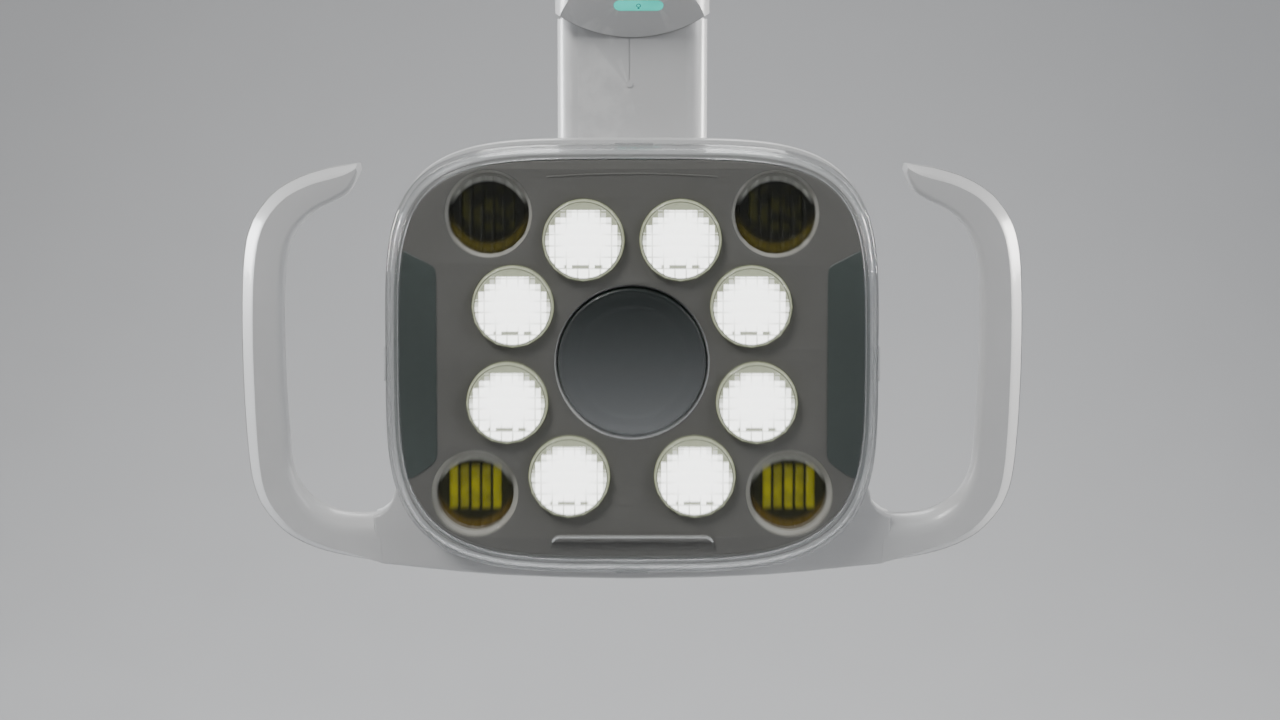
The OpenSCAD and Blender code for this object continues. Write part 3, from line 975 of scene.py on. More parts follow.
@dataclass(frozen=True)
class GlowWindow:
    """Backlit window whose glow varies with noise between its colour and a slightly softer tone."""

    name: str
    colour: Colour
    strength: float = 1.8

    def make(self) -> bpy.types.Material:
        """Build the material.

        Returns:
            The material.
        """
        graph = Coating(self.name)
        place = graph.place()
        haze = graph.add("ShaderNodeTexNoise", {"Vector": place, "Scale": 90.0, "Detail": 2.0})
        softer = tuple(c * 0.82 for c in self.colour)
        tone = graph.mix(graph.span(haze.outputs["Fac"], 0.3, 0.7), softer, self.colour)
        return graph.principled(
            {"Base Color": graph.mix(0.7, tone, (0.0, 0.0, 0.0)), "Roughness": 0.3,
             "Coat Weight": 0.1, "Emission Color": tone, "Emission Strength": self.strength}
        )


@dataclass(frozen=True)
class CircuitBoard:
    """Solder-masked board with darker copper tracks under the mask."""

    name: str
    colour: Colour = (0.02, 0.16, 0.07)

    def make(self) -> bpy.types.Material:
        """Build the material.

        Returns:
            The material.
        """
        graph = Coating(self.name)
        place = graph.place()
        tracks = graph.add(
            "ShaderNodeTexVoronoi", {"Vector": place, "Scale": 260.0}, distance="MANHATTAN"
        )
        lines = graph.span(tracks.outputs["Distance"], 0.35, 0.42)
        tone = graph.mix(lines, self.colour, tuple(c * 1.7 for c in self.colour))
        bump = graph.bump(0.3, 0.0001, lines)
        return graph.principled(
            {"Base Color": tone, "Roughness": 0.3, "Coat Weight": 0.4, "Normal": bump}
        )


class Paints:
    """Every finish of the light, built once."""

    def __init__(self) -> None:
        """Build the materials."""
        shell = (0.50, 0.502, 0.505)
        face = (0.115, 0.112, 0.104)
        trim = (0.050, 0.061, 0.057)
        self.shell = Moulding("satin light grey shell", shell, 0.34, 0.20).make()
        self.face = Moulding(
            "warm grey face", face, 0.42, 0.10, 0.10, 1800.0, 0.04, 0.10, 0.04
        ).make()
        self.trim = Moulding(
            "dark green grey trim", trim, 0.40, 0.15, 0.08, wear=0.08, dust=0.05
        ).make()
        # Painted shade on the cap: lighter at the bottom, dark at the top.
        self.cap = PaintedShadeDish("satin cap painted shade", (0.170, 0.175, 0.180), (0.010, 0.014, 0.013)).make()
        self.cup = Moulding("reflector cup", (0.36, 0.35, 0.32), 0.22, 0.3, 0.02, dust=0.0).make()
        self.black = Moulding("black acetal", (0.012, 0.012, 0.014), 0.38, 0.1).make()
        self.rubber = Moulding("cable rubber", (0.010, 0.010, 0.011), 0.62, 0.0, 0.2).make()
        self.chip = Moulding("emitter package", (0.75, 0.66, 0.25), 0.35, 0.2).make()
        self.steel = TurnedMetal("turned steel", (0.56, 0.57, 0.58)).make()
        self.brass = TurnedMetal("bearing bronze", (0.62, 0.42, 0.18)).make()
        self.alloy = TurnedMetal("extruded alloy", (0.68, 0.69, 0.70), 0.40).make()
        # Painted highlight: near-white paint for the thin line along the top of the ledge.
        edge = (0.86, 0.86, 0.86)
        self.bright = Moulding("painted highlight line", edge, 0.18, 0.4, 0.02, dust=0.0).make()
        # Painted light on the cap seat ring: a bright painted highlight at the bottom, painted shade
        # at the top.
        self.seat = PaintedShadeDish("cap seat painted light", (0.90, 0.90, 0.90), (0.012, 0.014, 0.013), 30.6).make()
        self.clear = ClearMoulding("clear polycarbonate").make()
        self.lit = LitLens("lit white lens").make()
        # Painted light by row: lit and shaded copies of one lens, the lower row with far brighter
        # painted flute highlights and crescents.
        self.amber = {
            Row.UPPER: AmberGlass(
                "amber lens upper", (0.0022, 0.0024, 0.0006), (0.024, 0.024, 0.003),
                (0.052, 0.042, 0.004), 0.35, 0.0,
            ).make(),
            Row.LOWER: AmberGlass(
                "amber lens lower", (0.010, 0.010, 0.001), (0.30, 0.28, 0.012),
                (0.080, 0.052, 0.005), 0.5, 0.7,
            ).make(),
        }
        self.glow = GlowWindow("sensor window", (0.030, 0.80, 0.66), 0.95).make()
        self.icon = GlowWindow("sensor icon", (0.005, 0.11, 0.10), 0.1).make()
        self.board = CircuitBoard("solder mask").make()

    def by_slot(self) -> dict[str, bpy.types.Material]:
        """The finish of each material slot in the record."""
        return {
            "steel": self.steel, "brass": self.brass, "nylon_black": self.black,
            "shell_grey": self.shell, "face_grey": self.face, "trim_dark": self.trim,
            "cap_dark": self.cap, "lens_white": self.lit, "lens_amber": self.amber[Row.UPPER],
            "cup_white": self.cup, "board": self.board, "chip": self.chip,
            "heat_metal": self.alloy, "shield_clear": self.clear, "sensor_glow": self.glow,
            "cable_black": self.rubber,
        }


def dress(obj: bpy.types.Object, material: bpy.types.Material) -> bpy.types.Object:
    """Give an object one material.

    Args:
        obj: the object.
        material: the finish.

    Returns:
        The linked object.
    """
    obj.data.materials.clear()
    obj.data.materials.append(material)
    return obj


def install(
    obj: bpy.types.Object,
    material: bpy.types.Material,
    body: str,
    slot: str,
    nodes: Iterable[str] = (),
) -> bpy.types.Object:
    """Finish a new piece: material, body and the frame nodes it stands for.

    Args:
        obj: the piece.
        material: its finish.
        body: the body it rides on.
        slot: the record's material slot; not used.
        nodes: frame nodes that it replaces.

    Returns:
        The piece.
    """
    dress(obj, material)
    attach(obj, body)
    if nodes:
        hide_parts(*nodes)
    LOG.info("%s rides on %s", obj.name, body)
    return obj


# ---------------------------------------------------------------------------------------------
# Head
# ---------------------------------------------------------------------------------------------


@dataclass
class HeadOutline:
    """The rounded-square outline that the shield, face and housing share."""

    half_width: float = 98.0
    top_height: float = 87.2
    low_height: float = 83.6
    top_power: float = 4.4
    low_power: float = 3.8
    count: int = 240

    def points(
        self, side: float = 0.0, top: float | None = None, low: float | None = None,
        scale: float = 1.0,
    ) -> list[Point2]:
        """Evenly spread outline points.

        Args:
            side: how far the outline is drawn in at the sides.
            top: how far it is drawn in at the top; the same as the sides when left out.
            low: how far it is drawn in at the bottom; the same as the sides when left out.
            scale: extra scale about the centre.

        Returns:
            (x, z) points in millimetres.
        """
        a = (self.half_width - side) * scale
        up = (self.top_height - (side if top is None else top)) * scale
        down = (self.low_height - (side if low is None else low)) * scale
        dense = []
        for j in range(1440):
            turn = 2 * math.pi * j / 1440
            c, s = math.cos(turn), math.sin(turn)
            power, b = (2 / self.low_power, down) if s < 0 else (2 / self.top_power, up)
            dense.append(
                (a * math.copysign(abs(c) ** power, c), b * math.copysign(abs(s) ** power, s))
            )
        return resampled(dense, self.count)

    def ring(
        self, centre: Vector, depth: float, side: float = 0.0, top: float | None = None,
        low: float | None = None, scale: float = 1.0,
    ) -> list[Vector]:
        """The outline as a ring of points at one depth behind the centre."""
        return [centre + Vector((x, depth, z)) for x, z in self.points(side, top, low, scale)]


@dataclass
class Shield:
    """Clear tray that snaps over the face."""

    outline: HeadOutline
    centre: Vector
    skirt: list[Point2] = field(default_factory=lambda: [
        (0.3, 9.0), (0.0, 8.6), (0.0, -8.0), (0.12, -9.3), (0.5, -10.4), (1.1, -11.2), (1.9, -11.7),
        (3.0, -11.9), (3.7, -12.0), (4.0, -12.25), (4.2, -12.8), (4.6, -13.25), (5.4, -13.4),
    ])
    crown: float = 0.6
    wall: float = 1.5

    def build(self) -> bpy.types.Object:
        """Build the tray with its crowned front and rolled rim.

        Returns:
            The linked object.
        """
        rings = [self.outline.ring(self.centre, y, d) for d, y in self.skirt]
        flat = self.skirt[-1][1]
        rings += self.panel(flat, 5.4)
        inner = self.panel(flat + self.wall, 5.9)[::-1]
        rings += inner
        for d, y in self.skirt[::-1][2:]:
            depth = min(y + self.wall, self.skirt[0][1]) if y < 0 else y
            rings.append(self.outline.ring(self.centre, depth, d + 1.5))
        return skin_rings("front_shield_clear", rings, True, 50)

    def panel(self, depth: float, inset: float) -> list[list[Vector]]:
        """Rings of one face of the crowned front panel, from rim to pole.

        Args:
            depth: depth of the rim.
            inset: how far the outline is drawn in.

        Returns:
            The rings in millimetres.
        """
        rings = []
        for step in range(1, 8):
            scale = 1 - step / 8
            depth_here = depth - self.crown * (1 - scale * scale)
            rings.append(self.outline.ring(self.centre, depth_here, inset, scale=scale))
        rings.append([self.centre + Vector((0, depth - self.crown, 0))])
        return rings

    def tabs(self) -> bpy.types.Object:
        """Four finger tabs on the skirt, at the sides, top and bottom.

        Returns:
            The linked object.
        """
        reach, top, low = self.outline.half_width, self.outline.top_height, self.outline.low_height
        blocks = [
            (Vector((reach, -2.5, 0.1)), Vector((0.9, 14.0, 13.6))),
            (Vector((-reach, -2.5, 0.1)), Vector((0.9, 14.0, 13.6))),
            (Vector((0.8, -2.5, top)), Vector((15.2, 14.0, 0.7))),
            (Vector((0.0, -2.5, -low)), Vector((12.8, 14.0, 0.7))),
        ]
        work = bmesh.new()
        for middle, size in blocks:
            made = bmesh.ops.create_cube(work, size=1.0)["verts"]
            bmesh.ops.scale(work, verts=made, vec=size * MM)
            bmesh.ops.translate(work, verts=made, vec=(self.centre + middle) * MM)
        bmesh.ops.bevel(
            work, geom=work.edges[:], offset=0.28 * MM, segments=3, affect="EDGES", profile=0.5
        )
        mesh = bpy.data.meshes.new("shield_tabs")
        work.to_mesh(mesh)
        work.free()
        obj = link_object(bpy.data.objects.new("shield_tabs", mesh))
        soften(obj)
        return obj

    def fit(self, paints: Paints) -> None:
        """Build, dress and hang the shield on its body."""
        install(self.build(), paints.clear, "shield", "shield_clear", ["front_shield"])
        install(self.tabs(), paints.clear, "shield", "shield_clear")


@dataclass
class LensLayout:
    """Where the lenses sit on the face."""

    white_ring: float = 52.6
    white_first: float = 68.4
    white_pitch: float = 43.25
    amber_ring: float = 82.4
    amber_angles: tuple[float, ...] = (46.0, 134.0, -40.0, -140.0)

    def white(self) -> list[Point2]:
        """Centres of the eight white lenses, right side first, from the top down.

        Returns:
            The points in millimetres.
        """
        spots = []
        for side in (Side.RIGHT, Side.LEFT):
            for k in range(4):
                turn = math.radians(self.white_first - k * self.white_pitch)
                across = side.value * self.white_ring * math.cos(turn)
                spots.append((across, self.white_ring * math.sin(turn)))
        return spots

    def amber(self) -> list[Point2]:
        """Centres of the four amber lenses, upper pair first."""
        turns = [math.radians(a) for a in self.amber_angles]
        return [(self.amber_ring * math.cos(t), self.amber_ring * math.sin(t)) for t in turns]


@dataclass
class Face:
    """Grey face with its openings, ledge, side inlays and centre cap."""

    outline: HeadOutline
    lenses: LensLayout
    centre: Vector
    white_hole: float = 16.4
    amber_hole: float = 17.4
    cap_radius: float = 29.6
    thickness: float = 3.0

    def plate(self) -> bpy.types.Object:
        """The face plate with round-edged openings.

        Returns:
            The linked object.
        """
        loops = [self.outline.points(4.1, 6.7, 4.2)]
        loops += [circle_points(x, z, self.white_hole) for x, z in self.lenses.white()]
        loops += [circle_points(x, z, self.amber_hole) for x, z in self.lenses.amber()]
        loops.append(circle_points(0, 0, self.cap_radius + 0.9, 128))
        return cut_plate("face_panel", loops, 0.0, self.thickness, 0.3, self.centre)

    def shelf(
        self, name: str, low: float, front: float, back: float, edge: float
    ) -> bpy.types.Object:
        """Make one layer of the ledge, from its curved top down to a height.

        Args:
            name: the piece's name.
            low: height of its lower edge.
            front: depth of its front.
            back: depth of its back.
            edge: radius of its rounded edges.

        Returns:
            The linked mesh object.
        """
        outline = [(-32.6, low), (-32.0, -72.2), (-31.0, -71.0), (-29.4, -70.4), (29.8, -70.4),
                   (31.4, -71.0), (32.4, -72.2), (33.0, low)]
        return cut_plate(name, [outline[::-1]], front, back, edge, self.centre)

    def ledge_highlight(self) -> bpy.types.Object:
        """Thin strip along the top of the ledge, turned down at both ends; it carries a painted
        highlight.

        Returns:
            The linked object.
        """
        top = [(-32.4, -72.3), (-31.3, -71.1), (-29.6, -70.35),
               (30.0, -70.35), (31.7, -71.1), (32.8, -72.3)]
        low = [(32.2, -72.5), (31.2, -71.5), (29.8, -70.85),
               (-29.4, -70.85), (-30.8, -71.5), (-31.8, -72.5)]
        loop = low[::-1] + top[::-1]
        return cut_plate("face_ledge_line", [loop], -2.45, -1.9, 0.1, self.centre)

    def brow(self) -> bpy.types.Object:
        """Shallow arched line above the upper lenses.

        Returns:
            The linked object.
        """
        top = [(x, 75.6 - 0.0011 * x * x) for x in range(-34, 35, 4)]
        low = [(x, z - 0.7) for x, z in reversed(top)]
        return cut_plate("face_brow", [top + low], -0.28, 0.4, 0.22, self.centre)

    def side_inlay(self, side: Side) -> bpy.types.Object:
        """Dark inlay at one side of the face.

        Args:
            side: left or right.

        Returns:
            The linked object.
        """
        corners = [(78.2, 35.4), (78.5, 37.3), (79.5, 38.6), (91.3, 44.8), (92.4, 38.0),
                   (93.1, 28.0), (93.5, 10.0), (93.5, -8.0), (92.9, -26.0), (91.9, -36.0),
                   (90.4, -47.4),
                   (86.8, -46.2), (82.2, -43.0), (79.6, -40.8), (78.6, -39.2), (78.2, -37.2)]
        outline = [(side.value * x, z) for x, z in corners]
        if side is Side.RIGHT:
            outline.reverse()
        name = "side_inlay_" + side.name.lower()
        return cut_plate(name, [outline], -0.4, 0.6, 0.3, self.centre)

    def cap(self) -> bpy.types.Object:
        """Dished centre cap with a thin raised rim and a faint inner step.

        Returns:
            The linked object.
        """
        dish = [(0.0, 0.58)]
        for radius in (3, 6, 9, 12, 15, 18, 20.5):
            dish.append((radius, 0.58 - radius * radius / 430))
        dish += [(22.2, -0.58), (22.5, -0.68), (23.2, -0.76), (25.0, -0.92), (26.6, -1.06),
                 (27.5, -1.26), (28.1, -1.38), (28.7, -1.40), (29.2, -1.28), (29.5, -1.0),
                 (29.6, -0.6), (29.6, 1.4), (0.0, 1.4)]
        return turned("centre_cap_dish", dish, self.centre, 160, angle=60)

    def cap_seat(self) -> bpy.types.Object:
        """Thin sloping ring round the cap."""
        profile = [(29.9, 1.8), (29.9, 0.9), (30.5, -0.1), (30.8, -0.22),
                   (31.05, -0.1), (31.1, 0.6), (31.1, 1.8)]
        return turned("centre_cap_seat", profile, self.centre, 160, True)

    def fit(self, paints: Paints) -> None:
        """Build, dress and place every face piece.

        Args:
            paints: every finish of the light.
        """
        grey, dark, cap = "face_grey", "trim_dark", "cap_dark"
        top, foot = ("face_ledge", -72.4, -2.2, 0.6, 0.3), ("face_ledge_foot", -75.4, -0.4, 0.6, 0.2)
        for piece, paint, slot, nodes in (
            (self.plate(), paints.face, grey, ["face_plate"]),
            (self.shelf(*top), paints.face, grey, []),
            (self.shelf(*foot), paints.face, grey, []),
            # The ledge line gets a painted highlight; the cap seat a painted highlight below and
            # painted shade above.
            (self.ledge_highlight(), paints.bright, grey, []),
            (self.cap_seat(), paints.seat, grey, []),
            (self.brow(), paints.face, grey, []),
            (self.side_inlay(Side.LEFT), paints.trim, dark, ["left_side_panel"]),
            (self.side_inlay(Side.RIGHT), paints.trim, dark, ["right_side_panel"]),
            (self.cap(), paints.cap, cap, ["centre_cap"]),
        ):
            install(piece, paint, "head", slot, nodes)


@dataclass
class Lens:
    """What every lens shares: its number, its place and the way its rings are drawn."""

    number: int
    spot: Point2
    centre: Vector

    def ripple(self, turn: float, radius: float) -> float:
        """Radius factor round the lens: plain and round."""
        return 1.0

    def height(self, x: float, z: float) -> float:
        """Depth of the front at a point: flat."""
        return 0.0

    def circle(self, radius: float, depth: float | None, steps: int) -> list[Vector]:
        """Make a ring of points.

        Args:
            radius: radius before any ripple.
            depth: the ring's depth, or None to lie on the front.
            steps: how many points.

        Returns:
            The points about the lens's own centre.
        """
        ring = []
        for j in range(steps):
            turn = 2 * math.pi * j / steps
            reach = radius * self.ripple(turn, radius)
            x, z = reach * math.cos(turn), reach * math.sin(turn)
            ring.append(Vector((x, self.height(x, z) if depth is None else depth, z)))
        return ring

    def body(self, name: str, rings: list[list[Vector]], angle: float) -> bpy.types.Object:
        """Skin the rings and put the lens in its place on the face.

        Args:
            name: the name to give it.
            rings: rings in millimetres.
            angle: the crease angle in degrees.

        Returns:
            The linked object.
        """
        obj = skin_rings(f"{name}_{self.number}", rings, False, angle)
        obj.location = (self.centre + Vector((self.spot[0], 0, self.spot[1]))) * MM
        return obj


@dataclass
class WhiteLens(Lens):
    """One lit lens: scalloped collar, double rim and a pillowed front."""

    radius: float = 16.3
    front: float = -3.0
    cell: float = 4.5
    pillow: float = 0.42
    flats: int = 16

    def ripple(self, turn: float, radius: float) -> float:
        """Radius factor that cuts the collar into flats.

        Args:
            turn: turn angle in radians.
            radius: radius in millimetres.

        Returns:
            The value.
        """
        if radius < self.radius - 1.4:
            return 1.0
        sector = 2 * math.pi / self.flats
        offset = (turn % sector) - sector / 2
        return math.cos(sector / 2) / math.cos(offset)

    def build(self) -> bpy.types.Object:
        """Build the lens about its own centre.

        Returns:
            The linked object.
        """
        rim = self.radius
        rings: list[list[Vector]] = []
        profile = [(6.0, 14.0), (12.5, 8.0), (15.0, 3.4), (rim + 0.5, 3.3), (rim + 0.5, 3.1),
                   (rim, 2.9), (rim, 0.2), (rim - 0.15, 0.0), (rim - 0.7, -0.25),
                   (rim - 0.7, -0.9), (rim - 0.1, -1.15), (rim, -1.4), (rim, -2.3),
                   (rim - 0.35, -2.75), (rim - 0.9, -2.95), (rim - 1.5, -2.95)]
        steps = 128
        rings.append([Vector((0, 14.0, 0))])
        for radius, depth in profile:
            rings.append(self.circle(radius, depth, steps))
        count = 34
        inner = rim - 1.9
        for k in range(count):
            radius = inner * (1 - k / count)
            rings.append(self.circle(radius, None, steps))
        rings.append([Vector((0, self.height(0, 0), 0))])
        return self.body("white_lens_body", rings, 38)

    def height(self, x: float, z: float) -> float:
        """Depth of the pillowed front at a point.

        Args:
            x: sideways place in millimetres.
            z: upward place in millimetres.

        Returns:
            The value.
        """
        u = (x / self.cell + 100.5) % 1 - 0.5
        v = (z / self.cell + 100.5) % 1 - 0.5
        bulge = (1 - 4 * u * u) * (1 - 4 * v * v)
        return self.front + 0.62 - self.pillow * bulge

    def fit(self, paints: Paints) -> None:
        """Build, dress and place the lens."""
        install(self.build(), paints.lit, "head", "lens_white", [f"white_lens_{self.number}"])


@dataclass
class AmberLens(Lens):
    """One corner lens: a fluted disc at the bottom of a white cup."""

    row: Row
    radius: float
    front: float
    back: float = 9.0
    flute: float = 4.4

    def build(self) -> bpy.types.Object:
        """Build the fluted disc about its own centre.

        Returns:
            The linked object.
        """
        steps, count = 120, 30
        rings = [[Vector((0, self.back, 0))], self.circle(14.0, self.back, steps),
                 self.circle(self.radius, self.front + 0.2, steps),
                 self.circle(self.radius - 0.2, self.front, steps),
                 self.circle(self.radius - 0.9, self.front, steps)]
        for k in range(count):
            rings.append(self.circle((self.radius - 1.1) * (1 - k / count), None, steps))
        rings.append([Vector((0, self.height(0, 0), 0))])
        return self.body("amber_lens_body", rings, 60)

    def height(self, x: float, z: float) -> float:
        """Depth of the fluted front at a point."""
        step = (x / self.flute + 100.5) % 1 - 0.5
        return self.front - 1.05 * max(0.0, 1 - (step / 0.42) ** 2) ** 0.6

    def fit(self, paints: Paints) -> None:
        """Build, dress and place the lens."""
        paint = paints.amber[self.row]
        install(self.build(), paint, "head", "lens_amber", [f"amber_lens_{self.number}"])


@dataclass
class Housing:
    """Domed rear housing with its front lip and cooling slots."""

    outline: HeadOutline
    centre: Vector
    brow: float = 1.5
    crown: float = 50.0
    flat_radius: float = 32.0
    wall: float = 2.5
    slot_width: float = 3.5
    slot_length: float = 18.0
    slot_pitch: float = 9.0
    slot_height: float = 62.0

    def dome(self, radius: float) -> float:
        """Depth of the outer dome at a radius from the roll axis."""
        return self.crown - 6.0 * (max(0.0, radius - self.flat_radius) / 28.0) ** 1.5

    def dome_ring(self, scale: float, drop: float, inset: float = 0.0) -> list[Vector]:
        """Outline ring laid on the dome.

        Args:
            scale: scale of the outline about the centre.
            drop: how far the ring lies under the dome.
            inset: how far the outline is drawn in.

        Returns:
            The ring's points in millimetres.
        """
        ring = []
        for x, z in self.outline.points(inset, inset - self.brow, inset, scale):
            ring.append(self.centre + Vector((x, self.dome(math.hypot(x, z)) - drop, z)))
        return ring

    def shell(self) -> bpy.types.Object:
        """The shell with its lip, rebate, side wall and dome.

        Returns:
            The linked object.
        """
        ring = self.outline.ring
        lip = [(3.8, 6.4, 3.9, 5.0), (3.8, 6.4, 3.9, 2.9), (3.65, 6.1, 3.75, 2.3),
               (3.4, 5.4, 3.5, 2.0), (3.1, 3.8, 3.1, 2.0), (2.8, 3.0, 2.8, 2.1),
               (2.6, 2.6, 2.6, 2.5), (2.6, 2.6, 2.6, 9.4),
               (2.4, 2.4, 2.4, 9.9), (0.9, 0.9 - self.brow, 0.9, 10.0),
               (0.3, 0.3 - self.brow, 0.3, 10.2), (0.0, -self.brow, 0.0, 10.8)]
        rings = [ring(self.centre, y, side, top, low) for side, top, low, y in lip]
        rings.append(self.dome_ring(1.0, 3.2))
        for inset, drop in ((0.25, 1.9), (0.8, 0.9), (1.8, 0.25)):
            rings.append(self.dome_ring(1.0, drop, inset))
        for step in range(1, 15):
            rings.append(self.dome_ring(1 - step / 17, 0.0, 2.6))
        rings.append([self.centre + Vector((0, self.crown, 0))])
        rings.append([self.centre + Vector((0, self.crown - self.wall, 0))])
        for step in range(14, 0, -1):
            rings.append(self.dome_ring(1 - step / 17, self.wall, 4.2))
        rings.append(ring(self.centre, 10.5, 5.1))
        rings.append(ring(self.centre, 6.0, 5.1, 7.4))
        return skin_rings("housing_shell", self.open_middle(rings), True, 36)

    def open_middle(self, rings: list[list[Vector]]) -> list[list[Vector]]:
        """Replace the two poles by a round opening for the bearing boss.

        Args:
            rings: rings in millimetres.

        Returns:
            The rings in millimetres.
        """
        made = []
        for ring in rings:
            if len(ring) > 1:
                made.append(ring)
                continue
            points = circle_points(0, 0, 21.6, self.outline.count)
            flat = Vector((self.centre.x, ring[0].y, self.centre.z))
            made.append([Vector((flat.x + x, flat.y, flat.z + z)) for x, z in points])
        return made

    def slots(self) -> bpy.types.Object:
        """Cutter for both rows of cooling slots.

        Returns:
            The linked object.
        """
        loops = []
        for row in (-1, 1):
            for column in (-4, -3, -2, -1, 1, 2, 3, 4):
                loops.append(self.slot_outline(column * self.slot_pitch, row * self.slot_height))
        cutter = cut_plate("slot_cutter", [loops[0]], 30.0, 56.0, 0.01, self.centre)
        for loop in loops[1:]:
            other = cut_plate("slot_more", [loop], 30.0, 56.0, 0.01, self.centre)
            work = bmesh.new()
            work.from_mesh(cutter.data)
            work.from_mesh(other.data)
            work.to_mesh(cutter.data)
            work.free()
            bpy.data.objects.remove(other)
        return cutter

    def slot_outline(self, x: float, z: float) -> list[Point2]:
        """Round-ended slot about a point.

        Args:
            x: sideways place in millimetres.
            z: upward place in millimetres.

        Returns:
            The points in millimetres.
        """
        half, straight = self.slot_width / 2, self.slot_length / 2 - self.slot_width / 2
        points = []
        for k in range(13):
            turn = math.pi * k / 12
            points.append((x + half * math.cos(turn), z + straight + half * math.sin(turn)))
        for k in range(13):
            turn = math.pi + math.pi * k / 12
            points.append((x + half * math.cos(turn), z - straight + half * math.sin(turn)))
        return points

    def boss(self) -> bpy.types.Object:
        """Bearing boss that carries the roll bush."""
        profile = [(12.0, 43.0), (22.0, 43.0), (22.0, 50.4), (21.6, 50.8), (18.4, 51.0),
                   (18.0, 51.4), (18.0, 51.8), (17.8, 52.0), (12.0, 52.0)]
        return turned("housing_boss", profile, self.centre, 96, True)

    def cradle(self) -> bpy.types.Object:
        """Bar under the head that joins the handles, hugging the housing.

        Returns:
            The linked object.
        """
        outer = [(30.0, -89.7), (54.0, -88.6), (70.0, -87.3), (86.0, -85.6), (101.3, -84.0),
                 (104.2, -83.0), (105.2, -64.6), (102.9, -63.9), (99.8, -61.6), (97.6, -58.4),
                 (96.4, -54.0), (95.4, -49.0)]
        inner = [p for p in self.outline.points(0.6) if p[1] < -48.6]
        inner.sort()
        left = [(-x, z) for x, z in reversed(outer)]
        loop = left + [(0.0, -90.2)] + outer + inner[::-1]
        return cut_plate("handle_cradle_bar", [loop], 12.1, 33.9, 1.1, self.centre)

    def fit(self, paints: Paints) -> None:
        """Build, dress and place the housing.

        Args:
            paints: every finish of the light.
        """
        shell = carve(self.shell(), self.slots())
        soften(shell, 36)
        install(shell, paints.shell, "head", "shell_grey", ["rear_housing"])
        install(self.boss(), paints.shell, "head", "shell_grey")
        install(self.cradle(), paints.shell, "head", "shell_grey", ["handle_cradle"])


